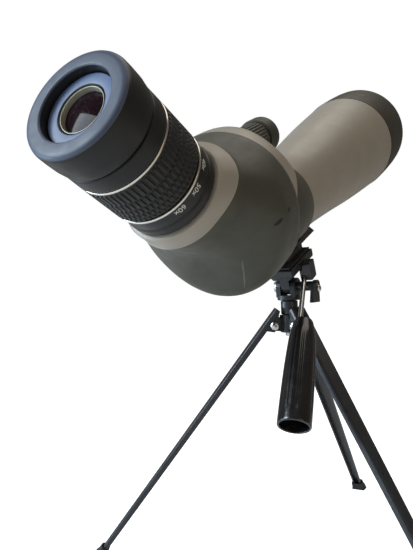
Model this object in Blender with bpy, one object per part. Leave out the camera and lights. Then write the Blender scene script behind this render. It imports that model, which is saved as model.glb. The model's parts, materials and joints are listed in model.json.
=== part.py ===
"""Angled zoom spotting scope on a small tabletop tripod.

Sizes are in millimetres here and become metres when a mesh is made.  Three frames carry the pieces:
the scope frame (+Y towards the objective, origin where the bent optical axis turns), the eyepiece
frame (+Z along the eyepiece, out towards the eye) and the upright tripod frame.
"""

import math

import bmesh
import bpy
from mathutils import Matrix, Vector

MM = 0.001
GAP = 0.3
SLIDE_GAP = 0.3

# scope attitude and main optics
PITCH = 22.3
EYEPIECE_BEND = 45.0
OBJECTIVE_R = 31.0
TUBE_R = 23.5
TUBE_WALL = 1.8
TUBE_REAR = 12.0
TUBE_FRONT = 216.0
TUBE_MOUTH_R = 36.1
SPIGOT_LENGTH = 32.0
SPIGOT_WALL = 2.7
SUNSHADE_LENGTH = 45.7
SUNSHADE_R = 36.5

# prism housing and its rubber armour
HOUSING_R = 40.0
HOUSING_RISE = 14.3
HOUSING_PLANE = 5.5
ARMOUR = 1.6
SKIN_GAP = 0.5
HOUSING_WALL = 2.0
NECK_FRONT = 64.0
SEAT_T = 44.0
SEAT_R = 24.6
SEAT_HOLE_R = 20.6

# eyepiece
BARREL_R = 19.7
BARREL_BORE = 17.5
EYEPIECE_R = 22.8
CUP_R = 23.7
CUP_FACE_T = 118.6
CUP_BASE_T = 101.5
CUP_BORE = 16.2
EYE_HEAD_R = 15.8
EYE_HEAD_T = 114.6
EYE_LENS_R = 10.2
EYE_LENS_T = 107.3
EYE_LENS_THICK = 5.7
EYE_LENS_BULGE = 1.4
GRIP_LOW_T = 67.9
GRIP_HIGH_T = 90.9
ZOOM_RIBS = 30

# focus drive
KNOB_R = 9.6
KNOB_CAP_R = 10.8
KNOB_HEIGHT = 39.6
KNOB_REAR = 23.5
KNOB_FRONT = 70.0
SHAFT_R = 2.5
KNOB_RIBS = 20

# foot and camera plate, in the scope frame
FOOT_BOTTOM = -34.6
RAIL_BOTTOM = -32.0
FOOT_REAR = 50.0
FOOT_FRONT = 105.0
FOOT_TOP_W = 6.8
FOOT_BASE_W = 12.0
FOOT_EDGE = 2.8
BOSS_R = 7.2
PAD_THICK = 1.0
PLATE_WIDTH = 22.0
PLATE_REAR = 45.7
PLATE_FRONT = 83.0
PLATE_THICK = 5.0
SCREW_Y = 76.0
SCREW_R = 3.0

# head, handle and tripod, in the upright frame
HUB_Y = 77.0
TILT_Z = -25.5
TILT_BOLT_R = 2.0
FORK_R = 5.4
FORK_HALF = 6.1
EAR_THICK = 2.9
TONGUE_R = 4.9
HEAD_R = 7.1
HEAD_LEDGE_Z = -33.8
POST_R = 5.2
HINGE_Z = -48.8
HINGE_R = 9.9
SPLAY = 38.4
LEG_LENGTH = 180.0
LEG_TOP = 9.0
LEG_HALF_W = 5.6
LEG_FOOT_HALF_W = 2.9
LEG_WALL = 1.3
LEG_OUT = 5.8
LEG_FOOT_OUT = 5.0
LEG_IN = 1.7
LEGS = {"front": 180.0, "left": 300.0, "right": 60.0}
RIVET_R = 1.5
RIVET_HEAD_R = 2.8
SHOE_LENGTH = 8.0
SOCKET_INNER_X = 9.4
SOCKET_OUTER_X = 16.2
SOCKET_Y = 65.2
SOCKET_HALF_Y = 4.4
SOCKET_TOP = -38.0
SOCKET_LOW = -49.0
HANDLE_X = 14.9
HANDLE_Y = -6.9
HANDLE_TILT = 37.5
HANDLE_LEAN = 9.0
ROD_R = 1.5
ROD_SHIFT = -2.5
GRIP_START = 24.5
GRIP_LENGTH = 65.0
GRIP_TOP_R = 5.6
GRIP_MOUTH_R = 9.0
GRIP_BORE = 7.7
GRIP_FLUTES = 12

ROUND = 24
LOFT = 32

FINISHES = {
    "grey_paint": ((0.36, 0.34, 0.31), 0.45, 0.0),
    "green_rubber": ((0.085, 0.095, 0.075), 0.6, 0.0),
    "black_plastic": ((0.02, 0.02, 0.022), 0.4, 0.0),
    "black_rubber": ((0.018, 0.018, 0.02), 0.7, 0.0),
    "black_metal": ((0.03, 0.033, 0.04), 0.35, 0.6),
    "olive_plastic": ((0.05, 0.048, 0.038), 0.5, 0.0),
    "bright_metal": ((0.75, 0.75, 0.74), 0.2, 1.0),
    "brass": ((0.6, 0.5, 0.28), 0.35, 1.0),
    "ring_metal": ((0.33, 0.3, 0.22), 0.4, 0.7),
    "lens_glass": ((0.25, 0.16, 0.24), 0.05, 0.0),
    "prism_glass": ((0.75, 0.8, 0.82), 0.05, 0.0),
    "gloss_plastic": ((0.015, 0.015, 0.016), 0.15, 0.0),
}


def clear_scene():
    for item in list(bpy.data.objects):
        bpy.data.objects.remove(item, do_unlink=True)


def finish(name):
    """Return the shared material of one finish, made the first time it is asked for."""
    found = bpy.data.materials.get(name)
    if found:
        return found
    colour, rough, metal = FINISHES[name]
    made = bpy.data.materials.new(name)
    made.use_nodes = True
    shader = made.node_tree.nodes["Principled BSDF"]
    shader.inputs["Base Color"].default_value = (*colour, 1.0)
    shader.inputs["Roughness"].default_value = rough
    shader.inputs["Metallic"].default_value = metal
    made.diffuse_color = (*colour, 1.0)
    return made


def frame(name, parent=None, matrix=None):
    """Add an empty that carries pieces; its matrix is relative to its parent."""
    empty = bpy.data.objects.new(name, None)
    empty.empty_display_size = 0.01
    bpy.context.scene.collection.objects.link(empty)
    empty.parent = parent
    if matrix is not None:
        empty.matrix_local = matrix
    return empty


def at(x=0.0, y=0.0, z=0.0):
    return Matrix.Translation((x * MM, y * MM, z * MM))


def turn(degrees, axis):
    return Matrix.Rotation(math.radians(degrees), 4, axis)


def add_piece(name, bm, look, parent, origin=(0.0, 0.0, 0.0), smooth=True):
    """Make one named object from a bmesh in millimetres, with its origin at the given point."""
    bmesh.ops.recalc_face_normals(bm, faces=bm.faces)
    shift = Matrix.Scale(MM, 4) @ Matrix.Translation([-value for value in origin])
    bmesh.ops.transform(bm, matrix=shift, verts=bm.verts)
    mesh = bpy.data.meshes.new(name)
    bm.to_mesh(mesh)
    bm.free()
    mesh.materials.append(finish(look))
    if smooth:
        for face in mesh.polygons:
            face.use_smooth = True
    piece = bpy.data.objects.new(name, mesh)
    bpy.context.scene.collection.objects.link(piece)
    piece.parent = parent
    piece.matrix_local = at(*origin)
    return piece


def skin(loops, closed=False):
    """Join matching loops of points with quads; an open run is capped, a closed run is a tube wall."""
    bm = bmesh.new()
    rows = [[bm.verts.new(point) for point in loop] for loop in loops]
    count = len(rows[0])
    last = len(rows) if closed else len(rows) - 1
    for index in range(last):
        low = rows[index]
        high = rows[(index + 1) % len(rows)]
        for step in range(count):
            following = (step + 1) % count
            bm.faces.new((low[step], low[following], high[following], high[step]))
    if not closed:
        bm.faces.new(rows[0])
        bm.faces.new(rows[-1])
    return bm


def circle(radius, height, steps=ROUND, axis="Z", centre=(0.0, 0.0)):
    """Loop of points: axis Z gives a level ring, axis Y an upright ring facing the objective."""
    points = []
    for step in range(steps):
        angle = 2.0 * math.pi * step / steps
        first = centre[0] + radius * math.cos(angle)
        second = centre[1] + radius * math.sin(angle)
        if axis == "Z":
            points.append((first, second, height))
        elif axis == "Y":
            points.append((first, height, second))
        else:
            points.append((height, first, second))
    return points


def ring(profile, steps=ROUND, axis="Z", centre=(0.0, 0.0)):
    """Turned hollow part: a closed profile of (radius, height) pairs."""
    return skin([circle(r, h, steps, axis, centre) for r, h in profile], closed=True)


def rod(profile, steps=ROUND, axis="Z", centre=(0.0, 0.0)):
    """Turned solid part: an open profile of (radius, height) pairs, capped at both ends."""
    return skin([circle(r, h, steps, axis, centre) for r, h in profile])


def tube(inner, outer, low, high, steps=ROUND, axis="Z", centre=(0.0, 0.0)):
    return ring([(inner, low), (outer, low), (outer, high), (inner, high)], steps, axis, centre)


def prism(outline, low, high, axis="X"):
    """Straight bar of a drawn outline; axis X takes (y, z) points and axis Y takes (x, z) points."""
    ends = []
    for level in (low, high):
        if axis == "X":
            ends.append([(level, a, b) for a, b in outline])
        else:
            ends.append([(a, level, b) for a, b in outline])
    return skin(ends)


def box(low, high, chamfer=0.0):
    """Block between two corners; a chamfer takes off its four edges that run along X."""
    y0, z0, y1, z1 = low[1], low[2], high[1], high[2]
    if chamfer == 0.0:
        outline = [(y0, z0), (y1, z0), (y1, z1), (y0, z1)]
    else:
        c = chamfer
        outline = [(y0 + c, z0), (y1 - c, z0), (y1, z0 + c), (y1, z1 - c)]
        outline += [(y1 - c, z1), (y0 + c, z1), (y0, z1 - c), (y0, z0 + c)]
    return prism(outline, low[0], high[0])


def combine(piece, operation, tools):
    """Join or cut solids and keep the result in the piece's own mesh."""
    for tool in tools:
        step = piece.modifiers.new(operation.lower(), "BOOLEAN")
        step.operation = operation
        step.solver = "EXACT"
        step.object = tool
    bpy.context.view_layer.update()
    graph = bpy.context.evaluated_depsgraph_get()
    made = bpy.data.meshes.new_from_object(piece.evaluated_get(graph))
    piece.modifiers.clear()
    old = piece.data
    piece.data = made
    made.name = piece.name
    bpy.data.meshes.remove(old)
    for tool in tools:
        bpy.data.objects.remove(tool, do_unlink=True)


def cutter(bm, parent):
    piece = add_piece("cutter", bm, "black_plastic", parent)
    piece.hide_render = True
    piece.display_type = "WIRE"
    return piece


def mix(first, second, share):
    return first + (second - first) * share


def ease(value, low, high):
    share = min(1.0, max(0.0, (value - low) / (high - low)))
    return share * share * (3.0 - 2.0 * share)


# ---------------------------------------------------------------- housing surfaces


def seat_radius(angle):
    """Rim of the eyepiece seat: a half circle below that swells out over the upper half."""
    height = elevation(angle)
    return SEAT_R + 4.8 * ease(height, -35.0, 25.0) + 0.8 * ease(height, 45.0, 85.0)


def elevation(angle):
    """Degrees above the horizontal, from -90 at the bottom to 90 at the top, alike on both sides."""
    wrapped = (math.degrees(angle) + 90.0) % 360.0 - 90.0
    return min(wrapped, 180.0 - wrapped)


def tilted_ring(angle, radius, level):
    """Point of a ring about the eyepiece axis, given in the scope frame."""
    lean = math.radians(EYEPIECE_BEND)
    up = radius * math.sin(angle)
    return Vector((
        radius * math.cos(angle),
        -level * math.sin(lean) + up * math.cos(lean),
        level * math.cos(lean) + up * math.sin(lean),
    ))


def seat_point(angle, inset, level=SEAT_T):
    return tilted_ring(angle, seat_radius(angle) - inset, level)


def drum_point(angle, inset, y):
    """Point of the round drum edge that the armour ends on."""
    radius = HOUSING_R - inset
    return Vector((radius * math.cos(angle), y, HOUSING_RISE + radius * math.sin(angle)))


def neck_point(angle, radius, y):
    return Vector((radius * math.cos(angle), y, radius * math.sin(angle)))


def bulb_surface(angle, share):
    """Outermost point of the swelling between the eyepiece seat and the drum edge."""
    start = seat_point(angle, 0.0)
    end = drum_point(angle, 0.0, HOUSING_PLANE)
    lean = math.radians(EYEPIECE_BEND)
    low = max(0.0, -math.sin(angle))
    high = max(0.0, math.sin(angle))
    flare = 0.53 - 0.97 * low + 0.47 * high
    inward = Vector((0.0, math.sin(lean), -math.cos(lean)))
    leaving = (inward + flare * tilted_ring(angle, 1.0, 0.0)).normalized()
    arriving = Vector((0.0, 1.0, 0.225 * low)).normalized()
    reach = (end - start).length
    first = start + leaving * reach * mix(0.83, 0.5, high)
    second = end - arriving * reach * (0.5 + 0.06 * low)
    a = (1.0 - share) ** 3
    b = 3.0 * share * (1.0 - share) ** 2
    c = 3.0 * share * share * (1.0 - share)
    return start * a + first * b + second * c + end * share ** 3


def bulb_point(angle, share, inset):
    """The same surface moved inwards along its normal; both rims stay in their own planes."""
    if share <= 0.0:
        return seat_point(angle, inset)
    if share >= 1.0:
        return drum_point(angle, inset, HOUSING_PLANE)
    here = bulb_surface(angle, share)
    step = 0.01
    along = bulb_surface(angle, share + step) - bulb_surface(angle, share - step)
    around = bulb_surface(angle + step, share) - bulb_surface(angle - step, share)
    normal = around.cross(along).normalized()
    if normal.dot(here - Vector((0.0, -12.0, 14.0))) < 0.0:
        normal = -normal
    return here - normal * inset


def top_half(angle):
    """One over the bare painted band at the top of the drum, none where the armour runs on below."""
    height = elevation(angle)
    return ease(height, 4.5, 13.5), height


def shoulder_path(angle):
    """Stations (y, share towards the neck) from the drum edge forward to the neck."""
    top, height = top_half(angle)
    edge = HOUSING_PLANE + GAP + 1.0 + 8.2 * ease(height, 0.0, 22.0) + 4.6 * ease(height, 40.0, 85.0)
    low = [(5.8, 0.0), (10.0, 0.05), (15.0, 0.25), (20.0, 0.58), (25.5, 0.88), (31.0, 1.0)]
    high = [(5.8, 0.0), (edge - 1.5, 0.0), (edge - 0.3, 0.06), (edge, 0.2), (edge + 1.2, 0.75),
            (edge + 3.5, 1.0)]
    return [(mix(a[0], b[0], top), mix(a[1], b[1], top)) for a, b in zip(low, high)]


def shoulder_point(angle, station, inset):
    y, share = shoulder_path(angle)[station]
    outer = drum_point(angle, inset, y)
    inner = neck_point(angle, TUBE_R + GAP + ARMOUR - inset, y)
    return outer.lerp(inner, share)


def loop_of(function, steps=LOFT):
    return [function(2.0 * math.pi * (step + 0.5) / steps) for step in range(steps)]


def build_housing(scope):
    """Painted prism housing: a thin shell from the eyepiece seat to the tube socket."""
    cover = ARMOUR + SKIN_GAP
    inner = cover + HOUSING_WALL
    bore = TUBE_R + GAP
    loops = [loop_of(lambda a: tilted_ring(a, SEAT_HOLE_R, SEAT_T - GAP))]
    for share in (0.0, 0.05, 0.13, 0.28, 0.46, 0.64, 0.82, 1.0):
        loops.append(loop_of(lambda a, s=share: bulb_point(a, s, cover)))
    loops[1] = loop_of(lambda a: seat_point(a, cover, SEAT_T - GAP))

    def bare(angle):
        return cover * (1.0 - top_half(angle)[0])

    for station in range(6):
        loops.append(loop_of(lambda a, k=station: shoulder_point(a, k, bare(a))))
    loops.append(loop_of(lambda a: neck_point(a, bore, mix(33.0, 27.0, top_half(a)[0]))))
    loops.append(loop_of(lambda a: neck_point(a, bore, 14.5)))
    loops.append(loop_of(lambda a: neck_point(a, bore, 10.0)))
    loops.append(loop_of(lambda a: drum_point(a, inner, 7.0).lerp(neck_point(a, bore, 7.0), 0.35)))
    for share in (0.94, 0.7, 0.45, 0.22, 0.06):
        loops.append(loop_of(lambda a, s=share: bulb_point(a, s, inner)))
    loops.append(loop_of(lambda a: tilted_ring(a, SEAT_HOLE_R, SEAT_T - GAP - HOUSING_WALL)))
    housing = add_piece("prism_housing", skin(loops, closed=True), "grey_paint", scope)
    hole = rod([(4.9, 2.0), (4.9, 34.0)], 20, "Y", (0.0, KNOB_HEIGHT))
    combine(housing, "DIFFERENCE", [cutter(hole, scope)])
    return housing


def build_armour(scope):
    """Green rubber skins over the housing and over the neck of the tube."""
    shares = (0.0, 0.05, 0.13, 0.28, 0.46, 0.64, 0.82, 1.0)
    outer = [loop_of(lambda a, s=s: bulb_point(a, s, 0.0)) for s in shares]
    inner = [loop_of(lambda a, s=s: bulb_point(a, s, ARMOUR)) for s in reversed(shares)]
    add_piece("rear_armour", skin(outer + inner, closed=True), "green_rubber", scope)

    def covered(angle, station, inset):
        height = top_half(angle)[1]
        held = ease(height, -13.5, -4.5)
        y, share = shoulder_path(angle)[station]
        y = mix(y, mix(31.5, 32.0, station / 5.0), held)
        share = mix(share, 1.0, held)
        far = drum_point(angle, inset, y)
        near = neck_point(angle, TUBE_R + GAP + ARMOUR - inset, y)
        return far.lerp(near, share)

    outer = [loop_of(lambda a, k=k: covered(a, k, 0.0)) for k in range(6)]
    outer.append(loop_of(lambda a: neck_point(a, TUBE_R + GAP + ARMOUR, NECK_FRONT)))
    inner = [loop_of(lambda a: neck_point(a, TUBE_R + GAP, NECK_FRONT))]
    inner.append(loop_of(lambda a: neck_point(a, TUBE_R + GAP, 33.5)))
    inner += [loop_of(lambda a, k=k: covered(a, k, ARMOUR)) for k in (4, 3, 2, 1, 0)]
    add_piece("neck_armour", skin(outer + inner, closed=True), "green_rubber", scope)


# ---------------------------------------------------------------- tube and objective


def tube_outline():
    """Outer radius of the painted tube at stations along it."""
    return [(TUBE_R, TUBE_REAR), (TUBE_R, 66.0), (24.3, 82.0), (27.1, 115.0), (31.8, 160.0),
            (35.3, 203.0), (TUBE_MOUTH_R, TUBE_FRONT)]


def build_tube(scope):
    spigot_r = OBJECTIVE_R + GAP + SPIGOT_WALL
    spigot_end = TUBE_FRONT + SPIGOT_LENGTH
    ledge = TUBE_FRONT + 7.0
    outer = tube_outline() + [(spigot_r, TUBE_FRONT), (spigot_r, spigot_end)]
    inner = [(OBJECTIVE_R + GAP, spigot_end), (OBJECTIVE_R + GAP, ledge), (OBJECTIVE_R - 2.0, ledge),
             (OBJECTIVE_R - 2.0, ledge - 3.0), (33.2, 203.0), (25.3, 115.0),
             (TUBE_R - TUBE_WALL, 66.0), (TUBE_R - TUBE_WALL, TUBE_REAR)]
    add_piece("main_tube", ring(outer + inner, LOFT, "Y"), "grey_paint", scope)
    front = ledge + GAP
    add_piece("objective_lens_rear", lens(OBJECTIVE_R, front, 5.5, -2.0, 0.6), "lens_glass", scope)
    front += 5.5 + GAP
    add_piece("objective_lens_front", lens(OBJECTIVE_R, front, 5.5, 2.0, 2.2), "lens_glass", scope)
    front += 5.5 + GAP
    clamp = [(OBJECTIVE_R - 2.0, front + 2.6), (OBJECTIVE_R, front + 2.6), (OBJECTIVE_R, front + 5.0),
             (OBJECTIVE_R - 1.2, front + 5.0)]
    add_piece("objective_retaining_ring", ring(clamp, ROUND, "Y"), "black_metal", scope)
    bore = spigot_r + SLIDE_GAP
    end = TUBE_FRONT + GAP + SUNSHADE_LENGTH
    start = TUBE_FRONT + GAP
    shade = [(bore, start), (SUNSHADE_R, start), (SUNSHADE_R, start + 2.0), (36.7, start + 30.0),
             (36.0, end - 1.2), (35.5, end), (bore - 0.6, end), (bore, end - 3.0)]
    add_piece("sunshade", ring(shade, LOFT, "Y"), "olive_plastic", scope)
    baffle = [(14.0, 90.0), (23.0, 90.0), (23.0, 91.0), (14.0, 91.0)]
    add_piece("tube_baffle", ring(baffle, ROUND, "Y"), "black_metal", scope)


def lens(radius, back, thick, bulge_back, bulge_front, axis="Y"):
    """Round lens; each bulge says how far that face swells out at its middle, or dips in when negative."""
    back_edge = back + max(bulge_back, 0.0)
    front_edge = back + thick - max(bulge_front, 0.0)
    shares = (0.12, 0.6, 1.0)
    stations = [(radius * s, back_edge - bulge_back * (1.0 - s * s)) for s in shares]
    stations += [(radius * s, front_edge + bulge_front * (1.0 - s * s)) for s in reversed(shares)]
    return rod(stations, ROUND, axis)


# ---------------------------------------------------------------- prism and focus drive


def build_focus(scope):
    glass = [(4.0, -12.0), (4.0, 13.0), (-12.0, 27.0), (-24.0, 15.0), (-9.0, -12.0)]
    add_piece("erecting_prism", prism(glass, -12.0, 12.0), "prism_glass", scope, smooth=False)
    left = add_piece("prism_carriage", box((12.3, -9.0, -8.0), (14.3, 3.5, 33.0)), "black_metal",
                     scope, smooth=False)
    right = cutter(box((-14.3, -9.0, -8.0), (-12.3, 3.5, 33.0)), scope)
    bridge = cutter(box((-14.3, -5.0, 30.5), (14.3, 3.5, 33.0)), scope)
    lug = cutter(box((-5.0, -3.0, 31.0), (5.0, 3.0, 44.0)), scope)
    combine(left, "UNION", [right, bridge, lug])
    thread = rod([(SHAFT_R + GAP, -12.0), (SHAFT_R + GAP, 8.0)], 16, "Y", (0.0, KNOB_HEIGHT))
    combine(left, "DIFFERENCE", [cutter(thread, scope)])
    axis = (0.0, KNOB_HEIGHT)
    origin = (0.0, KNOB_REAR, KNOB_HEIGHT)
    bush = [(SHAFT_R + GAP, 11.0), (4.6, 11.0), (4.6, 22.5), (SHAFT_R + GAP, 22.5)]
    add_piece("focus_bush", ring(bush, 20, "Y", axis), "brass", scope)
    shaft = [(SHAFT_R, -7.5), (SHAFT_R, 60.0)]
    add_piece("focus_shaft", rod(shaft, 16, "Y", axis), "bright_metal", scope, origin)
    knob = ribbed([(KNOB_REAR, KNOB_R - 0.8), (KNOB_REAR + 0.8, KNOB_R), (57.2, KNOB_R)], KNOB_RIBS, 0.4,
                  SHAFT_R + GAP, axis)
    add_piece("focus_knob", knob, "olive_plastic", scope, origin)
    cap = [(SHAFT_R + GAP, 57.5), (KNOB_CAP_R - 0.5, 57.5), (KNOB_CAP_R, 58.2),
           (KNOB_CAP_R, KNOB_FRONT - 1.8), (KNOB_CAP_R - 1.6, KNOB_FRONT), (1.2, KNOB_FRONT), (1.2, 60.4),
           (SHAFT_R + GAP, 60.4)]
    add_piece("focus_knob_cap", ring(cap, 28, "Y", axis), "olive_plastic", scope, origin)


def ribbed(stations, ribs, depth, bore, centre, axis="Y"):
    """Hollow knob whose outside carries straight ribs; stations are (height, radius) pairs."""

    def toothed(radius, height):
        points = []
        for step in range(ribs * 2):
            angle = math.pi * (step + 0.5) / ribs
            reach = radius if step % 2 == 0 else radius - depth
            first = centre[0] + reach * math.cos(angle)
            second = centre[1] + reach * math.sin(angle)
            points.append((first, height, second) if axis == "Y" else (first, second, height))
        return points

    loops = [toothed(radius, height) for height, radius in stations]
    hole = [circle(bore, stations[-1][0], ribs * 2, axis, centre)]
    hole.append(circle(bore, stations[0][0], ribs * 2, axis, centre))
    return skin(loops + hole, closed=True)


# ---------------------------------------------------------------- eyepiece


def build_eyepiece(eye):
    spigot = SEAT_HOLE_R - GAP
    seat = [circle(20.1, 49.4, LOFT), circle(18.3, 49.4, LOFT), circle(18.3, 42.0, LOFT)]
    seat += [circle(spigot, 42.0, LOFT), circle(spigot, SEAT_T + GAP, LOFT)]
    seat += [seat_rim(0.0, SEAT_T + GAP), seat_rim(0.4, SEAT_T + 1.0), circle(24.6, 52.6, LOFT)]
    seat += [circle(23.8, 53.8, LOFT), circle(20.1, 53.8, LOFT)]
    add_piece("eyepiece_seat", skin(seat, closed=True), "grey_paint", eye)
    scale = [(20.1, 54.1), (22.2, 54.1), (22.9, 55.0), (22.9, 58.6), (22.2, 59.0), (22.2, 59.5),
             (22.6, 60.0), (22.6, 66.2), (20.1, 66.2)]
    add_piece("zoom_scale_ring", ring(scale), "black_plastic", eye)
    barrel = [(16.0, 40.0), (18.0, 40.0), (18.0, 49.8), (BARREL_R, 49.8), (BARREL_R, 92.2),
              (EYE_HEAD_R, 92.2), (EYE_HEAD_R, EYE_HEAD_T - 0.4), (EYE_HEAD_R - 0.4, EYE_HEAD_T),
              (EYE_LENS_R + GAP, EYE_HEAD_T),
              (EYE_LENS_R + GAP, 107.0), (8.4, 107.0), (8.4, 104.6), (11.5, 100.0), (11.5, 90.0),
              (BARREL_BORE, 90.0), (BARREL_BORE, 50.6), (16.0, 50.6)]
    body = add_piece("eyepiece_barrel", ring(barrel), "black_metal", eye)
    slots = []
    for side, low, high in ((1.0, 51.5, 64.0), (-1.0, 71.0, 83.5)):
        slots.append(cutter(box((side * 16.0 - 5.0, -1.6, low), (side * 16.0 + 5.0, 1.6, high)), eye))
    combine(body, "DIFFERENCE", slots)
    trims = {"lower_trim_ring": 66.4, "upper_trim_ring": 91.2}
    for name, low in trims.items():
        trim = [(21.3, low), (EYEPIECE_R - 0.2, low), (EYEPIECE_R + 0.2, low + 0.6),
                (EYEPIECE_R - 0.2, low + 1.2), (21.3, low + 1.2)]
        add_piece(name, ring(trim), "bright_metal", eye)
    add_piece("zoom_sleeve", tube(20.2, 21.0, 66.5, 92.3), "black_metal", eye)
    stations = [(GRIP_LOW_T, EYEPIECE_R - 0.6), (GRIP_LOW_T + 0.5, EYEPIECE_R + 0.1)]
    stations += [(GRIP_HIGH_T - 0.5, EYEPIECE_R + 0.1), (GRIP_HIGH_T, EYEPIECE_R - 0.6)]
    grip = ribbed(stations, ZOOM_RIBS, 0.5, 21.3, (0.0, 0.0), "Z")
    add_piece("zoom_grip", grip, "black_rubber", eye)
    build_zoom_cells(eye)
    build_eyecup(eye)


def seat_rim(inset, level):
    """The outer rim of the seat, drawn in the eyepiece frame."""
    points = []
    for step in range(LOFT):
        angle = 2.0 * math.pi * step / LOFT
        radius = seat_radius(angle) - inset
        points.append((radius * math.cos(angle), radius * math.sin(angle), level))
    return points


def build_zoom_cells(eye):
    """Two lens cells that slide in the barrel, each with a cam pin through a barrel slot."""
    cells = (("lower", 52.6, 1.0), ("upper", 76.0, -1.0))
    for name, low, side in cells:
        cell = tube(12.4, BARREL_BORE - SLIDE_GAP, low, low + 7.0)
        made = add_piece("zoom_cell_" + name, cell, "black_metal", eye)
        pin = rod([(1.2, side * 15.0), (1.2, side * 19.4)], 12, "X", (0.0, low + 3.5))
        combine(made, "UNION", [cutter(pin, eye)])
        glass = lens(12.0, low + 1.0, 5.0, 0.8, 0.8, "Z")
        add_piece("zoom_lens_" + name, glass, "lens_glass", eye)


def build_eyecup(eye):
    collar = [(16.1, 92.6), (22.6, 92.6), (23.0, 93.2), (23.0, 100.6), (22.6, 101.2), (20.1, 101.2),
              (20.1, 93.8), (16.1, 93.8)]
    add_piece("eyecup_collar", ring(collar), "black_plastic", eye)
    add_piece("eyecup_guide_ring", tube(EYE_HEAD_R + 0.4, 17.8, 94.2, 107.0), "brass", eye)
    add_piece("eyecup_sleeve", tube(18.2, 19.7, 94.2, 111.6), "black_plastic", eye)
    cup = [(20.0, CUP_BASE_T), (22.8, CUP_BASE_T), (23.3, 102.8), (CUP_R - 0.1, 107.0), (CUP_R, 112.0),
           (CUP_R - 0.1, 116.2), (23.2, 117.6), (22.5, 118.3), (21.6, CUP_FACE_T),
           (CUP_BORE + 1.2, CUP_FACE_T), (CUP_BORE + 0.4, 118.3), (CUP_BORE, 117.6), (CUP_BORE, 112.0),
           (20.0, 112.0)]
    add_piece("eyecup", ring(cup, LOFT), "black_rubber", eye)
    glass = lens(EYE_LENS_R, EYE_LENS_T, EYE_LENS_THICK, 0.4, EYE_LENS_BULGE, "Z")
    add_piece("eye_lens", glass, "lens_glass", eye)
    low = EYE_LENS_T + EYE_LENS_THICK - EYE_LENS_BULGE + GAP
    clamp = [(EYE_LENS_R - 1.1, low), (EYE_LENS_R, low), (EYE_LENS_R, EYE_HEAD_T - 0.2),
             (EYE_LENS_R - 0.7, EYE_HEAD_T - 0.2)]
    add_piece("eye_lens_ring", ring(clamp), "ring_metal", eye)


# ---------------------------------------------------------------- foot and camera plate


def build_foot(scope):
    """Foot under the tube: two webs shaped to the tube, a flared rail and a thread boss."""
    half_top = FOOT_TOP_W / 2.0
    half_base = FOOT_BASE_W / 2.0
    top = RAIL_BOTTOM + FOOT_EDGE
    outline = [(-half_base, RAIL_BOTTOM), (half_base, RAIL_BOTTOM), (half_top, top), (-half_top, top)]
    foot = add_piece("mount_foot", prism(outline, FOOT_REAR, FOOT_FRONT, "Y"), "black_plastic", scope,
                     smooth=False)
    web = half_top - 0.05
    rear = cutter(box((-web, FOOT_REAR + 0.5, top - 1.0), (web, 66.0, -22.0)), scope)
    front = cutter(box((-web, 84.0, top - 1.0), (web, 100.0, -22.0)), scope)
    boss = cutter(rod([(BOSS_R, FOOT_BOTTOM), (BOSS_R, top + 0.6)], 24, "Z", (0.0, SCREW_Y)), scope)
    block = cutter(box((-6.6, 56.0, FOOT_BOTTOM), (6.6, SCREW_Y, RAIL_BOTTOM + 0.8)), scope)
    combine(foot, "UNION", [rear, front, boss, block])
    armour_r = TUBE_R + GAP + ARMOUR
    round_tube = [(armour_r + GAP, 40.0), (armour_r + GAP, NECK_FRONT + 1.0)]
    round_tube.append((TUBE_R + GAP, NECK_FRONT + 1.0))
    round_tube += [(r + GAP, y) for r, y in tube_outline() if y > NECK_FRONT + 1.0]
    hole = rod([(5.3, FOOT_BOTTOM - 1.0), (5.3, FOOT_BOTTOM + 5.0)], 20, "Z", (0.0, SCREW_Y))
    tools = [cutter(rod(round_tube, LOFT, "Y"), scope), cutter(hole, scope)]
    combine(foot, "DIFFERENCE", tools)
    insert = tube(SCREW_R + GAP, 5.0, FOOT_BOTTOM, FOOT_BOTTOM + 4.7, 20, "Z", (0.0, SCREW_Y))
    add_piece("foot_thread_insert", insert, "brass", scope)


def build_plate(scope):
    top = FOOT_BOTTOM - GAP - PAD_THICK - GAP
    low = top - PLATE_THICK
    half = PLATE_WIDTH / 2.0
    outline = [(PLATE_REAR, top - 4.4), (PLATE_REAR + 0.6, top - 5.0), (PLATE_FRONT - 0.6, low),
               (PLATE_FRONT, low + 0.6), (PLATE_FRONT, top - 0.6), (PLATE_FRONT - 0.6, top),
               (PLATE_REAR + 0.6, top), (PLATE_REAR, top - 0.6)]
    plate = add_piece("camera_plate", prism(outline, -half, half), "black_plastic", scope, smooth=False)
    hole = rod([(SCREW_R + GAP, low - 2.0), (SCREW_R + GAP, top + 2.0)], 20, "Z", (0.0, SCREW_Y))
    combine(plate, "DIFFERENCE", [cutter(hole, scope)])
    inset = 1.2
    pad = box((-half + inset, PLATE_REAR + inset, top + GAP), (half - inset, PLATE_FRONT - inset,
                                                              top + GAP + PAD_THICK))
    pad = add_piece("plate_pad", pad, "black_rubber", scope, smooth=False)
    hole = rod([(SCREW_R + 0.8, top - 2.0), (SCREW_R + 0.8, top + 4.0)], 20, "Z", (0.0, SCREW_Y))
    combine(pad, "DIFFERENCE", [cutter(hole, scope)])
    origin = (0.0, SCREW_Y, low)
    screw = [(5.6, low - 3.4), (6.0, low - 3.0), (6.0, low - 0.7), (5.6, low - GAP),
             (SCREW_R, low - GAP), (SCREW_R, FOOT_BOTTOM + 3.8), (SCREW_R - 0.6, FOOT_BOTTOM + 4.4)]
    add_piece("camera_screw", rod(screw, 24, "Z", (0.0, SCREW_Y)), "black_metal", scope, origin)
    return low


# ---------------------------------------------------------------- head and handle


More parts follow.
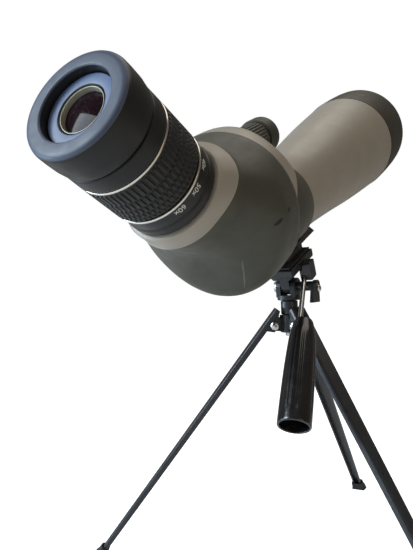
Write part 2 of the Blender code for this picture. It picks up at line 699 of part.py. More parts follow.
def build_head(stand, tilt, scope, plate_low):
    """Pan body with its fork, the tongue under the plate and the bolt through both."""
    floor = TILT_Z - TONGUE_R - 0.5
    base = [(HEAD_R - 0.5, HEAD_LEDGE_Z), (HEAD_R, HEAD_LEDGE_Z + 0.5), (HEAD_R, floor)]
    body = add_piece("pan_body", rod(base, 28, "Z", (0.0, HUB_Y)), "black_plastic", stand,
                     (0.0, HUB_Y, HEAD_LEDGE_Z))
    inside = FORK_HALF - EAR_THICK
    cheek = rounded_tab(FORK_R, (HUB_Y, TILT_Z), floor - 1.0)
    ears = [cutter(prism(cheek, inside, FORK_HALF), stand)]
    ears.append(cutter(prism(cheek, -FORK_HALF, -inside), stand))
    combine(body, "UNION", ears)
    bore = rod([(TILT_BOLT_R + GAP, -20.0), (TILT_BOLT_R + GAP, 20.0)], 16, "X", (HUB_Y, TILT_Z))
    well = rod([(3.2, HEAD_LEDGE_Z - 1.0), (3.2, HEAD_LEDGE_Z + 1.6)], 20, "Z", (0.0, HUB_Y))
    combine(body, "DIFFERENCE", [cutter(bore, stand), cutter(well, stand)])
    centre = tilt_centre()
    tab = rounded_tab(TONGUE_R, centre, plate_low - GAP, -1.0)
    half = inside - GAP
    tongue = add_piece("tilt_tongue", prism(tab, -half, half), "black_plastic", scope, smooth=False)
    high = plate_low - GAP
    outline = [(-8.5, high), (8.5, high), (5.6, high - 4.0), (-5.6, high - 4.0)]
    flange = cutter(prism(outline, centre[0] - 8.0, centre[0] + 4.5, "Y"), scope)
    combine(tongue, "UNION", [flange])
    bore = rod([(TILT_BOLT_R + GAP, -20.0), (TILT_BOLT_R + GAP, 20.0)], 16, "X", centre)
    combine(tongue, "DIFFERENCE", [cutter(bore, scope)])
    bolt = [(3.6, -FORK_HALF - 2.4), (3.6, -FORK_HALF - GAP), (TILT_BOLT_R, -FORK_HALF - GAP),
            (TILT_BOLT_R, SOCKET_OUTER_X + 2.6)]
    add_piece("tilt_bolt", rod(bolt, 16, "X"), "bright_metal", tilt)
    spacer = tube(TILT_BOLT_R + GAP, 2.9, FORK_HALF + GAP, SOCKET_OUTER_X, 16, "X")
    add_piece("clamp_spacer", spacer, "black_plastic", tilt)


def rounded_tab(radius, centre, end, side=1.0):
    """Tab outline in (y, z) with a round end about the centre and a square end at the height given."""
    points = [(centre[0] + radius, end)]
    for step in range(9):
        angle = math.pi * step / 8.0
        points.append((centre[0] + radius * math.cos(angle), centre[1] + side * radius * math.sin(angle)))
    points.append((centre[0] - radius, end))
    return points


def tilt_centre():
    """The tilt axis in the scope frame, as (y, z)."""
    lean = math.radians(PITCH)
    y = HUB_Y * math.cos(lean) + TILT_Z * math.sin(lean)
    z = -HUB_Y * math.sin(lean) + TILT_Z * math.cos(lean)
    return y, z


def build_handle(tilt, handle, scope):
    """Socket block on the plate's right side, bright rod, hollow fluted grip and the lock lever."""
    side = PLATE_WIDTH / 2.0 + GAP
    rear = SOCKET_Y - SOCKET_HALF_Y
    front = SOCKET_Y + SOCKET_HALF_Y
    shape = box((side, rear, SOCKET_LOW), (SOCKET_OUTER_X, front, SOCKET_TOP), 0.8)
    block = add_piece("handle_socket", shape, "black_plastic", scope, smooth=False)
    below = FOOT_BOTTOM - 2.0 * GAP - PAD_THICK - PLATE_THICK - GAP
    lower = box((SOCKET_INNER_X, rear, SOCKET_LOW), (SOCKET_OUTER_X - 1.0, front, below), 0.8)
    combine(block, "UNION", [cutter(lower, scope)])
    seat = (ROD_SHIFT, 0.0)
    bore = rod([(ROD_R + GAP, -12.5), (ROD_R + GAP, 24.0)], 16, "Z", seat)
    combine(block, "DIFFERENCE", [cutter(bore, handle)])
    shaft = [(ROD_R - 0.4, -12.2), (ROD_R, -11.8), (ROD_R, GRIP_START + 20.0)]
    add_piece("handle_rod", rod(shaft, 16, "Z", seat), "bright_metal", handle)
    build_grip(handle)
    left = SOCKET_OUTER_X + GAP
    hub = add_piece("tilt_lever", rod([(3.6, left), (3.6, left + 2.6)], 20, "X"), "black_plastic", tilt)
    wing = prism([(-5.6, 1.6), (-8.4, -9.8), (3.0, -9.8), (2.4, 1.0)], left + 0.1, left + 2.4)
    combine(hub, "UNION", [cutter(wing, tilt)])
    bore = rod([(TILT_BOLT_R + GAP, 0.0), (TILT_BOLT_R + GAP, 30.0)], 16, "X")
    combine(hub, "DIFFERENCE", [cutter(bore, tilt)])
    stud = [(2.2, left + 2.9), (2.2, left + 3.4), (1.3, left + 4.2)]
    add_piece("lever_stud", rod(stud, 16, "X", (0.0, -1.6)), "bright_metal", tilt)


def build_grip(handle):
    steps = GRIP_FLUTES * 3
    start = GRIP_START
    end = start + GRIP_LENGTH

    def fluted(radius, height, depth):
        points = []
        for step in range(steps):
            angle = 2.0 * math.pi * step / steps
            reach = radius - (depth if step % 3 == 0 else 0.0)
            points.append((reach * math.cos(angle), reach * math.sin(angle), height))
        return points

    bore = (ROD_SHIFT, 0.0)
    loops = [circle(ROD_R + GAP, start, steps, "Z", bore), fluted(GRIP_TOP_R - 1.6, start, 0.0),
             fluted(GRIP_TOP_R, start + 1.6, 0.0), fluted(7.6, start + 12.0, 0.4),
             fluted(8.6, start + 30.0, 0.5), fluted(GRIP_MOUTH_R, end - 8.0, 0.5),
             fluted(GRIP_MOUTH_R, end - 5.0, 0.0),
             fluted(GRIP_MOUTH_R - 0.5, end, 0.0), circle(GRIP_BORE, end, steps),
             circle(GRIP_BORE - 0.6, start + 30.0, steps), circle(4.8, start + 25.0, steps),
             circle(ROD_R + GAP, start + 24.0, steps, "Z", bore)]
    add_piece("handle_grip", skin(loops, closed=True), "gloss_plastic", handle)


# ---------------------------------------------------------------- tripod


def build_tripod(stand):
    hub = (0.0, HUB_Y)
    post = [(2.9, HINGE_Z - 3.0), (2.9, HINGE_Z + 6.4), (POST_R, HINGE_Z + 6.4),
            (POST_R, HEAD_LEDGE_Z - GAP), (2.9, HEAD_LEDGE_Z - GAP), (2.9, HEAD_LEDGE_Z + 1.2)]
    add_piece("centre_post", rod(post, 24, "Z", hub), "black_metal", stand)
    top = HINGE_Z + 6.0
    spider = [(5.6, HINGE_Z - 4.6), (6.2, HINGE_Z - 4.0), (6.2, top)]
    made = add_piece("leg_spider", rod(spider, 24, "Z", hub), "black_plastic", stand)
    lugs = []
    for azimuth in LEGS.values():
        bm = prism(lug_outline(), -3.7, 3.7, "Y")
        lug = cutter(bm, stand)
        lug.matrix_local = at(0.0, HUB_Y, HINGE_Z) @ turn(azimuth - 90.0, "Z")
        lugs.append(lug)
    combine(made, "UNION", lugs)
    cuts = [cutter(rod([(3.2, HINGE_Z - 3.4), (3.2, HINGE_Z + 20.0)], 20, "Z", hub), stand)]
    cuts.append(cutter(rod([(1.6, HINGE_Z - 20.0), (1.6, HINGE_Z)], 12, "Z", hub), stand))
    for azimuth in LEGS.values():
        hole = cutter(rod([(RIVET_R + GAP, -9.0), (RIVET_R + GAP, 9.0)], 12, "Y", (HINGE_R, 0.0)), stand)
        hole.matrix_local = at(0.0, HUB_Y, HINGE_Z) @ turn(azimuth - 90.0, "Z")
        cuts.append(hole)
    combine(made, "DIFFERENCE", cuts)
    screw = [(2.6, HINGE_Z - 6.9), (3.0, HINGE_Z - 6.4), (3.0, HINGE_Z - 4.9), (1.3, HINGE_Z - 4.9),
             (1.3, HINGE_Z - 3.4)]
    add_piece("post_screw", rod(screw, 16, "Z", hub), "bright_metal", stand)


def lug_outline():
    """Side view of one hub lug in (outwards, up), round about the rivet."""
    points = [(3.0, 4.6), (3.0, -4.0), (HINGE_R - 1.0, -3.4)]
    for step in range(7):
        angle = -math.pi / 2.0 + math.pi * step / 6.0
        points.append((HINGE_R + 3.3 * math.cos(angle), 3.3 * math.sin(angle)))
    points.append((HINGE_R - 2.6, 4.6))
    return points


def leg_section(station, half, out, inward):
    """Rounded U-channel cross-section; station runs down the leg, out is away from the hub."""
    wall = LEG_WALL
    corner = 1.8
    outer = [(half, inward), (half, out - corner), (half - 0.5, out - 0.6), (half - corner, out)]
    inner_half = half - wall
    inner_out = out - wall
    points = [(-a, b) for a, b in outer]
    points += [(a, b) for a, b in reversed(outer)]
    points += [(inner_half, inward), (inner_half, inner_out)]
    points += [(-inner_half, inner_out), (-inner_half, inward)]
    return [(a, b, -station) for a, b in points]


def build_leg(name, azimuth, stand):
    """One folding leg with its rivet and rubber shoe, hung at its hinge."""
    base = at(0.0, HUB_Y, HINGE_Z) @ turn(azimuth - 90.0, "Z") @ at(HINGE_R, 0.0, 0.0)
    hinge = frame("leg_hinge_" + name, stand, base @ turn(-SPLAY, "Y") @ turn(-90.0, "Z"))
    loops = []
    stations = [(-LEG_TOP, 2.6), (-5.5, 1.2), (-3.4, -2.4), (3.4, -2.4), (5.5, LEG_IN), (60.0, LEG_IN),
                (LEG_LENGTH - 4.0, LEG_IN)]
    for station, inward in stations:
        share = max(0.0, station) / LEG_LENGTH
        half = mix(LEG_HALF_W, LEG_FOOT_HALF_W, share)
        out = mix(LEG_OUT, LEG_FOOT_OUT, share)
        loops.append(leg_section(station, half, out, inward))
    leg = add_piece("leg_" + name, skin(loops), "black_metal", hinge)
    hole = rod([(RIVET_R + GAP, -9.0), (RIVET_R + GAP, 9.0)], 12, "X")
    combine(leg, "DIFFERENCE", [cutter(hole, hinge)])
    build_shoe(name, hinge)
    pin = frame("rivet_seat_" + name, stand, base @ turn(-90.0, "Z"))
    half = LEG_HALF_W + GAP
    rivet = [(RIVET_HEAD_R - 1.0, -half - 1.4), (RIVET_HEAD_R, -half - 0.6), (RIVET_HEAD_R, -half),
             (RIVET_R, -half), (RIVET_R, half), (RIVET_HEAD_R, half), (RIVET_HEAD_R, half + 0.6),
             (RIVET_HEAD_R - 1.0, half + 1.4)]
    add_piece("rivet_" + name, rod(rivet, 16, "X"), "bright_metal", pin)


def build_shoe(name, hinge):
    """Flared rubber shoe: a pocket over the leg's end and a level sole."""
    end = LEG_LENGTH - 4.0
    half = LEG_FOOT_HALF_W + 0.15 + GAP
    out = LEG_FOOT_OUT + 0.1 + GAP
    inward = LEG_IN - GAP
    top = end - SHOE_LENGTH + 3.0

    def outline(grow, station):
        a, b, c = half + grow, inward - grow, out + grow
        points = [(-a, b), (a, b), (a, c - 1.0), (a - 1.0, c), (-a + 1.0, c), (-a, c - 1.0)]
        return [(x, y, -station) for x, y in points]

    slope = math.tan(math.radians(SPLAY))
    middle = (inward + out) / 2.0
    sole = []
    for x, y, z in outline(1.5, end):
        sole.append((x, y, -(LEG_LENGTH - (y - middle) * -slope)))
    loops = [outline(0.0, end + GAP), outline(0.0, top), outline(0.7, top), outline(0.8, end - 1.5),
             outline(1.3, end + 0.6), sole]
    add_piece("shoe_" + name, skin(loops), "black_rubber", hinge)


def rest_on_floor(root):
    """Move the whole object so that its box stands centred on the origin."""
    bpy.context.view_layer.update()
    corners = []
    for item in bpy.data.objects:
        if item.type == "MESH":
            corners += [item.matrix_world @ vertex.co for vertex in item.data.vertices]
    low = [min(corner[axis] for corner in corners) for axis in range(3)]
    high = [max(corner[axis] for corner in corners) for axis in range(3)]
    root.location = (-(low[0] + high[0]) / 2.0, -(low[1] + high[1]) / 2.0, -low[2])


def main():
    clear_scene()
    root = frame("spotting_scope_origin")
    stand = frame("tripod_frame", root)
    scope = frame("scope_frame", root, turn(PITCH, "X"))
    eye = frame("eyepiece_frame", scope, turn(EYEPIECE_BEND, "X"))
    tilt = frame("tilt_frame", root, at(0.0, HUB_Y, TILT_Z))
    slant = turn(-HANDLE_LEAN, "Y") @ turn(180.0 - HANDLE_TILT, "X")
    handle = frame("handle_frame", tilt, at(HANDLE_X, HANDLE_Y, 0.0) @ slant)
    build_housing(scope)
    build_armour(scope)
    build_tube(scope)
    build_focus(scope)
    build_eyepiece(eye)
    build_foot(scope)
    plate_low = build_plate(scope)
    build_head(stand, tilt, scope, plate_low)
    build_handle(tilt, handle, scope)
    build_tripod(stand)
    for name, azimuth in LEGS.items():
        build_leg(name, azimuth, stand)
    rest_on_floor(root)


main()
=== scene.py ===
"""Looks of the angled spotting scope on its tabletop tripod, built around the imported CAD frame.

Sizes are millimetres in the frame of each assembly and become metres when a mesh is made.  The scope
frame has +Y towards the objective and its origin where the bent optical axis turns; the eyepiece frame
has +Z out along the eyepiece; the handle frame has +Z down the pan handle.
"""

import json
import math

import bmesh
import bpy
from mathutils import Matrix, Vector


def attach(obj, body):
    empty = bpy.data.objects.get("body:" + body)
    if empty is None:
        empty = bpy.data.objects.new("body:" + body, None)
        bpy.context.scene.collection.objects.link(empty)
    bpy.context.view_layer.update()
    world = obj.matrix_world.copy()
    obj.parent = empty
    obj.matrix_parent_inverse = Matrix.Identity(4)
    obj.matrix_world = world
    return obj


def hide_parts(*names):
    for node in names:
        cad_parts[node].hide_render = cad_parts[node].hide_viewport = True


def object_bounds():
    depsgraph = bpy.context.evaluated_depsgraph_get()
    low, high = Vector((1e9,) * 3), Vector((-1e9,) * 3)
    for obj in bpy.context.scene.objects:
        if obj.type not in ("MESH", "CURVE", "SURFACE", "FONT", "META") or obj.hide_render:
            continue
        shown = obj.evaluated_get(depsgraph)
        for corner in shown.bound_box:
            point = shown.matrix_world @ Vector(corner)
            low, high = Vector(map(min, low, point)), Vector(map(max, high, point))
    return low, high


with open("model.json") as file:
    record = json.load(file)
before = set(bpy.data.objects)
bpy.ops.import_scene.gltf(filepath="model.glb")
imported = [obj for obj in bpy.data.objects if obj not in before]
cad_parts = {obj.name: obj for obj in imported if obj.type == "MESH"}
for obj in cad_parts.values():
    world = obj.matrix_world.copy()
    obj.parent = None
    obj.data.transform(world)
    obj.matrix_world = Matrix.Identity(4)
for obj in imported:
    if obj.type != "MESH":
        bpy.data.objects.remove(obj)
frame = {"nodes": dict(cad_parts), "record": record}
CAD_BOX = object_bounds()

MM = 0.001
GAP = 0.3
AROUND = 128
NODES = frame["nodes"]
JOINTS = {joint["name"]: joint for joint in frame["record"]["behaviour"]["joints"]}

# scope body
EYEPIECE_BEND = math.radians(45.0)
ZOOM_JOINT_T = 79.0
OBJECTIVE_R = 31.0
TUBE_R = 23.5
TUBE_FRONT = 216.0
SPIGOT_R = 34.0
SPIGOT_END = 248.0
SUNSHADE_LENGTH = 45.7
HOUSING_R = 40.0
HOUSING_RISE = 14.3
HOUSING_PLANE = 5.5
ARMOUR = 1.6
NECK_FRONT = 64.0
BAND_END = -2.5
MARK_LIFT = 0.06
WALL_Y = 7.6
SEAT_T = 44.0
SEAT_R = 24.6
SEAT_HOLE_R = 20.6

# eyepiece
EYEPIECE_R = 22.8
CUP_R = 23.7
CUP_FACE_T = 118.6
CUP_BORE = 16.2
EYE_HEAD_R = 15.8
EYE_HEAD_T = 114.6
EYE_LENS_R = 10.2
EYE_LENS_T = 107.3
EYE_LENS_THICK = 5.7
EYE_LENS_BULGE = 1.4
SCALE_R = 22.6
NUMBER_T = 63.8
NUMBER_HEIGHT = 2.8

# focus drive
KNOB_R = 9.6
KNOB_CAP_R = 10.8
KNOB_HEIGHT = 39.6
KNOB_REAR = 23.5
SHAFT_HOLE_R = 4.9
KNOB_FRONT = 70.0

# head, handle and tripod
ROD_R = 1.5
ROD_SHIFT = -2.5
GRIP_START = 24.5
GRIP_LENGTH = 65.0
GRIP_FLUTES = 12
HANDLE_OFFSET = (14.9, -6.9, 0.0)
HANDLE_TILT = 37.5
HANDLE_LEAN = 9.0
POST_R = 5.2
RIVET_HEAD_R = 2.8
LEG_HALF_W = 5.6


def joint_point(name):
    return Vector(JOINTS[name]["pos_m"])


def joint_axis(name):
    return Vector(JOINTS[name]["axis"])


def turn(degrees, axis):
    return Matrix.Rotation(math.radians(degrees), 4, axis)


def at(x=0.0, y=0.0, z=0.0):
    return Matrix.Translation((x * MM, y * MM, z * MM))


TUBE_AXIS = joint_axis("sunshade_slide")
ORIGIN = joint_point("zoom_turn") - joint_axis("zoom_turn") * ZOOM_JOINT_T * MM
SCOPE = Matrix.Translation(ORIGIN) @ Matrix.Rotation(math.atan2(TUBE_AXIS.z, TUBE_AXIS.y), 4, "X")
EYE = SCOPE @ Matrix.Rotation(EYEPIECE_BEND, 4, "X")
HUB = Matrix.Translation(joint_point("pan"))
TILT = Matrix.Translation(joint_point("tilt"))
HANDLE = TILT @ at(*HANDLE_OFFSET) @ turn(-HANDLE_LEAN, "Y") @ turn(180.0 - HANDLE_TILT, "X")


# ---------------------------------------------------------------- materials


def grey(value):
    return (value, value, value, 1.0)


def shade(colour, factor):
    return tuple(min(1.0, channel * factor) for channel in colour) + (1.0,)


class Look:
    """One procedural material: a Principled shader with noise behind its colour, gloss and relief."""

    def __init__(self, name):
        self.material = bpy.data.materials.new(name)
        self.material.use_nodes = True
        self.tree = self.material.node_tree
        self.shader = self.tree.nodes["Principled BSDF"]
        self.spot = self.add("ShaderNodeTexCoord").outputs["Object"]

    def add(self, kind, **values):
        node = self.tree.nodes.new(kind)
        for key, value in values.items():
            setattr(node, key, value)
        return node

    def link(self, output, node, socket):
        self.tree.links.new(output, node.inputs[socket])

    def noise(self, scale, detail=3.0, stretch=None):
        node = self.add("ShaderNodeTexNoise")
        node.inputs["Scale"].default_value = scale
        node.inputs["Detail"].default_value = detail
        source = self.spot
        if stretch:
            mapping = self.add("ShaderNodeMapping")
            mapping.inputs["Scale"].default_value = stretch
            self.link(source, mapping, "Vector")
            source = mapping.outputs["Vector"]
        self.link(source, node, "Vector")
        return node.outputs["Fac"]

    def spread(self, source, low, high, start=0.3, end=0.7):
        node = self.add("ShaderNodeMapRange")
        node.inputs["From Min"].default_value = start
        node.inputs["From Max"].default_value = end
        node.inputs["To Min"].default_value = low
        node.inputs["To Max"].default_value = high
        self.link(source, node, "Value")
        return node.outputs["Result"]

    def blend(self, share, first, second):
        node = self.add("ShaderNodeMix", data_type="RGBA")
        self.link(share, node, "Factor")
        for socket, value in ((6, first), (7, second)):
            if isinstance(value, tuple):
                node.inputs[socket].default_value = value
            else:
                self.tree.links.new(value, node.inputs[socket])
        return node.outputs[2]

    def relief(self, height, strength, distance, below=None):
        node = self.add("ShaderNodeBump")
        node.inputs["Strength"].default_value = strength
        node.inputs["Distance"].default_value = distance * MM
        self.link(height, node, "Height")
        if below:
            self.link(below, node, "Normal")
        return node.outputs["Normal"]


def surface(name, colour, rough, metal=0.0, blotch=0.12, grain=900.0, depth=0.05, wear=0.0,
            coat=0.0, sheen=0.0, stretch=None, specular=0.5):
    """General finish: blotchy colour, uneven gloss, fine grain and lighter worn edges."""
    look = Look(name)
    patches = look.spread(look.noise(45.0, 5.0), 0.0, 1.0)
    tone = look.blend(patches, shade(colour, 1.0 - blotch), shade(colour, 1.0 + blotch))
    specks = look.spread(look.noise(grain * 0.6, 2.0), 0.0, 0.35, 0.55, 0.75)
    tone = look.blend(specks, tone, shade(colour, 1.0 - 2.0 * blotch))
    if wear > 0.0:
        edges = look.add("ShaderNodeNewGeometry").outputs["Pointiness"]
        edges = look.spread(edges, 0.0, wear, 0.52, 0.6)
        tone = look.blend(edges, tone, shade(colour, 2.2))
    look.link(tone, look.shader, "Base Color")
    look.link(look.spread(look.noise(160.0, 4.0, stretch), rough - 0.07, rough + 0.08), look.shader,
              "Roughness")
    coarse = look.relief(look.noise(grain * 0.25, 2.0), 0.15, depth)
    look.link(look.relief(look.noise(grain, 4.0, stretch), 0.4, depth, coarse), look.shader, "Normal")
    look.shader.inputs["Metallic"].default_value = metal
    look.shader.inputs["Coat Weight"].default_value = coat
    look.shader.inputs["Coat Roughness"].default_value = 0.2
    look.shader.inputs["Sheen Weight"].default_value = sheen
    look.shader.inputs["Sheen Roughness"].default_value = 0.4
    look.shader.inputs["Specular IOR Level"].default_value = specular
    return look.material


def coated_lens(name, dark, coating_reflection, rough):
    """Blackened glass with the coloured reflection of its coating painted in towards the rim; faint dust
    keeps the gloss uneven.
    """
    look = Look(name)
    facing = look.add("ShaderNodeLayerWeight")
    facing.inputs["Blend"].default_value = 0.35
    dust = look.spread(look.noise(700.0, 3.0), 0.0, 0.12, 0.55, 0.8)
    # Painted reflection: the coating's reflected colour is blended in where the glass is seen at a slant.
    tone = look.blend(facing.outputs["Facing"], dark + (1.0,), coating_reflection + (1.0,))
    look.link(look.blend(dust, tone, grey(0.25)), look.shader, "Base Color")
    look.link(look.spread(look.noise(120.0), rough, rough + 0.06), look.shader, "Roughness")
    look.link(look.relief(look.noise(90.0, 1.0), 0.05, 0.02), look.shader, "Normal")
    look.shader.inputs["IOR"].default_value = 1.5
    look.shader.inputs["Specular IOR Level"].default_value = 0.08
    return look.material


PAINT = surface("warm_grey_paint", (0.36, 0.325, 0.27), 0.46, blotch=0.05, grain=1500.0, depth=0.03,
                wear=0.3, coat=0.15)
ARMOUR_RUBBER = surface("green_armour", (0.056, 0.056, 0.040), 0.52, blotch=0.12, grain=1300.0,
                        depth=0.07, wear=0.25, sheen=0.08)
CUP_RUBBER = surface("eyecup_rubber", (0.010, 0.010, 0.010), 0.42, blotch=0.15, grain=1600.0,
                     depth=0.04, wear=0.3, sheen=0.02, specular=0.4)
# Blue-grey painted reflection of the cool window light on the matte black rubber of the eyecup face.
CUP_FACE_REFLECTION = surface("eyecup_face_reflection", (0.058, 0.078, 0.12), 0.46, blotch=0.06, grain=1600.0,
                          depth=0.03, sheen=0.1)
# Light blue painted reflection of the cool window light on the black annulus round the eye lens.
RECESS_REFLECTION = surface("recess_painted_reflection", (0.13, 0.19, 0.33), 0.4, blotch=0.05, grain=1600.0, depth=0.03)
GRIP_RUBBER = surface("zoom_grip_rubber", (0.012, 0.012, 0.011), 0.46, blotch=0.2, grain=1500.0,
                      depth=0.06, wear=0.4)
SCALE_PLASTIC = surface("scale_plastic", (0.009, 0.009, 0.008), 0.36, blotch=0.15, depth=0.03)
NUMBER_PAINT = surface("number_paint", (0.75, 0.74, 0.70), 0.5, blotch=0.05, depth=0.02)
HOOD_PLASTIC = surface("hood_plastic", (0.042, 0.038, 0.029), 0.5, blotch=0.12, grain=1300.0,
                       depth=0.05, wear=0.3)
KNOB_PLASTIC = surface("knob_plastic", (0.045, 0.045, 0.034), 0.5, blotch=0.15, grain=1300.0,
                       depth=0.05, wear=0.4)
SATIN_BLACK = surface("satin_black", (0.020, 0.022, 0.026), 0.36, blotch=0.15, grain=1300.0,
                      depth=0.04, wear=0.4, coat=0.1)
LEG_PAINT = surface("leg_paint", (0.022, 0.024, 0.028), 0.34, blotch=0.12, grain=1500.0, depth=0.03,
                    wear=0.5, coat=0.25)
GLOSS_BLACK = surface("gloss_black", (0.008, 0.008, 0.009), 0.2, blotch=0.2, grain=700.0,
                      depth=0.01, coat=0.6)
SHOE_RUBBER = surface("shoe_rubber", (0.022, 0.022, 0.022), 0.65, blotch=0.2, grain=1200.0, depth=0.08)
BRIGHT_STEEL = surface("bright_steel", (0.72, 0.71, 0.69), 0.2, metal=1.0, blotch=0.06, grain=900.0,
                       depth=0.01, stretch=(1.0, 1.0, 0.08))
TRIM_STEEL = surface("trim_steel", (0.80, 0.77, 0.70), 0.22, metal=1.0, blotch=0.05, grain=1200.0,
                     depth=0.01)
LENS_RING_METAL = surface("lens_ring_metal", (0.42, 0.41, 0.33), 0.4, metal=0.3, blotch=0.06,
                          grain=1400.0, depth=0.02)
BRASS = surface("turned_brass", (0.60, 0.47, 0.24), 0.3, metal=1.0, blotch=0.1, depth=0.02)
# Blackened inside of the tube; the same black is also the painted shade of the long armour slot.
INNER_BLACK_AND_SLOT_SHADE = surface("inner_black_and_slot_shade", (0.012, 0.012, 0.012), 0.7, blotch=0.2, depth=0.05)
SLOT_SHADE = surface("slot_shade", (0.030, 0.029, 0.022), 0.6, blotch=0.15, depth=0.03)
# The lighter colour of the mould line is a painted highlight along its ridge.
MOULD_LINE_HIGHLIGHT = surface("mould_highlight", (0.14, 0.15, 0.13), 0.5, blotch=0.15, depth=0.03)
# The second colour of each lens is its painted coating reflection.
EYE_GLASS = coated_lens("eye_glass", (0.012, 0.005, 0.004), (0.020, 0.009, 0.020), 0.05)
FRONT_GLASS = coated_lens("front_glass", (0.006, 0.010, 0.012), (0.05, 0.10, 0.09), 0.04)
CLEAR_GLASS = coated_lens("prism_glass_look", (0.35, 0.42, 0.45), (0.6, 0.7, 0.7), 0.05)

SLOT_LOOKS = {
    "grey_paint": PAINT,
    "green_rubber": ARMOUR_RUBBER,
    "black_plastic": SATIN_BLACK,
    "black_rubber": SHOE_RUBBER,
    "black_metal": LEG_PAINT,
    "olive_plastic": HOOD_PLASTIC,
    "bright_metal": BRIGHT_STEEL,
    "brass": BRASS,
    "ring_metal": LENS_RING_METAL,
    "lens_glass": EYE_GLASS,
    "prism_glass": CLEAR_GLASS,
    "gloss_plastic": GLOSS_BLACK,
}


# ---------------------------------------------------------------- mesh helpers


def mix(first, second, share):
    return first + (second - first) * share


def ease(value, low, high):
    share = min(1.0, max(0.0, (value - low) / (high - low)))
    return share * share * (3.0 - 2.0 * share)


def piece(name, bm, place, body, look, slot, *nodes, sharp=38.0, extra=None):
    """Make a finished piece from a bmesh in millimetres, on its body, in place of its CAD nodes."""
    bmesh.ops.recalc_face_normals(bm, faces=bm.faces)
    bmesh.ops.scale(bm, vec=(MM, MM, MM), verts=bm.verts)
    mesh = bpy.data.meshes.new(name)
    bm.to_mesh(mesh)
    bm.free()
    mesh.materials.append(look)
    for other in extra or ():
        mesh.materials.append(other)
    mesh.shade_smooth()
    mesh.set_sharp_from_angle(angle=math.radians(sharp))
    made = bpy.data.objects.new(name, mesh)
    bpy.context.scene.collection.objects.link(made)
    made.matrix_world = place
    bpy.context.view_layer.update()
    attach(made, body)
    if nodes:
        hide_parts(*nodes)
    return made


def loft(loops, closed=False):
    """Join matching loops of points with quads; an open run is capped, a closed run is a tube wall."""
    bm = bmesh.new()
    rows = [[bm.verts.new(point) for point in loop] for loop in loops]
    last = len(rows) if closed else len(rows) - 1
    for index in range(last):
        low = rows[index]
        high = rows[(index + 1) % len(rows)]
        for step in range(len(low)):
            after = (step + 1) % len(low)
            bm.faces.new((low[step], low[after], high[after], high[step]))
    if not closed:
        bm.faces.new(rows[0])
        bm.faces.new(rows[-1])
    return bm


def rounded(profile, closed, radius=0.3, steps=3):
    """Round the corners of a profile of (radius, height[, corner radius]) points."""
    made = []
    count = len(profile)
    for index, point in enumerate(profile):
        here = Vector(point[:2])
        if not closed and index in (0, count - 1):
            made.append(here)
            continue
        before = Vector(profile[index - 1][:2]) - here
        after = Vector(profile[(index + 1) % count][:2]) - here
        wanted = point[2] if len(point) > 2 else radius
        cut = min(wanted, before.length * 0.45, after.length * 0.45)
        if cut < 0.01:
            made.append(here)
            continue
        start = here + before.normalized() * cut
        end = here + after.normalized() * cut
        for step in range(steps + 1):
            share = step / steps
            made.append(start * (1 - share) ** 2 + here * 2 * share * (1 - share) + end * share ** 2)
    return made


def wheel(radius, height, steps, axis, centre):
    """Loop of points about the Z or Y axis."""
    points = []
    for step in range(steps):
        angle = 2.0 * math.pi * (step + 0.5) / steps
        first = centre[0] + radius * math.cos(angle)
        second = centre[1] + radius * math.sin(angle)
        points.append((first, second, height) if axis == "Z" else (first, height, second))
    return points


def turned(profile, closed=True, axis="Z", centre=(0.0, 0.0), steps=AROUND, corner=0.3):
    """Lathe-turned part of (radius, height[, corner radius]) points."""
    stations = rounded(profile, closed, corner)
    return loft([wheel(p[0], p[1], steps, axis, centre) for p in stations], closed)


def carved(stations, bore, radius_at, steps, axis="Z", centre=(0.0, 0.0)):
    """Hollow round part whose outside follows radius_at(angle, height)."""

    def loop(height, reach_at):
        points = []
        for step in range(steps):
            angle = 2.0 * math.pi * step / steps
            reach = reach_at(angle, height)
            first = centre[0] + reach * math.cos(angle)
            second = centre[1] + reach * math.sin(angle)
            points.append((first, second, height) if axis == "Z" else (first, height, second))
        return points

    loops = [loop(height, radius_at) for height in stations]
    loops += [loop(height, lambda angle, level: bore) for height in (stations[-1], stations[0])]
    return loft(loops, closed=True)


def curve_through(points, per=6):
    """Smooth run of (radius, height) stations through the points given."""
    made = []
    for index in range(len(points) - 1):
        p1, p2 = Vector(points[index]), Vector(points[index + 1])
        p0 = Vector(points[index - 1]) if index else p1 * 2 - p2
        p3 = Vector(points[index + 2]) if index + 2 < len(points) else p2 * 2 - p1
        for step in range(per):
            t = step / per
            spot = p1 * 2 + (p2 - p0) * t + (p0 * 2 - p1 * 5 + p2 * 4 - p3) * t * t
            spot += (p1 * 3 - p0 - p2 * 3 + p3) * t ** 3
            made.append((spot.x * 0.5, spot.y * 0.5, 0.0))
    made.append((*points[-1], 0.0))
    return made


def soften(node, width, look):
    """Weld the split edges of a solid that is shown as it is, round them and give it its finish."""
    kept = NODES[node]
    weld = kept.modifiers.new("weld", "WELD")
    weld.merge_threshold = 0.00001
    bevel = kept.modifiers.new("bevel", "BEVEL")
    bevel.width = width * MM
    bevel.segments = 3
    bevel.limit_method = "ANGLE"
    bevel.angle_limit = math.radians(28.0)
    bevel.harden_normals = True
    kept.material_slots[0].material = look


# ---------------------------------------------------------------- housing and armour


def elevation(angle):
    """Degrees above the horizontal, alike on both sides."""
    wrapped = (math.degrees(angle) + 90.0) % 360.0 - 90.0
    return min(wrapped, 180.0 - wrapped)


def seat_radius(angle):
    height = elevation(angle)
    return SEAT_R + 4.8 * ease(height, -35.0, 25.0) + 0.8 * ease(height, 45.0, 85.0)


def tilted_ring(angle, radius, level):
    """Point of a ring about the eyepiece axis, in the scope frame."""
    up = radius * math.sin(angle)
    lean_sin = math.sin(EYEPIECE_BEND)
    lean_cos = math.cos(EYEPIECE_BEND)
    return Vector((radius * math.cos(angle), up * lean_cos - level * lean_sin,
                   level * lean_cos + up * lean_sin))


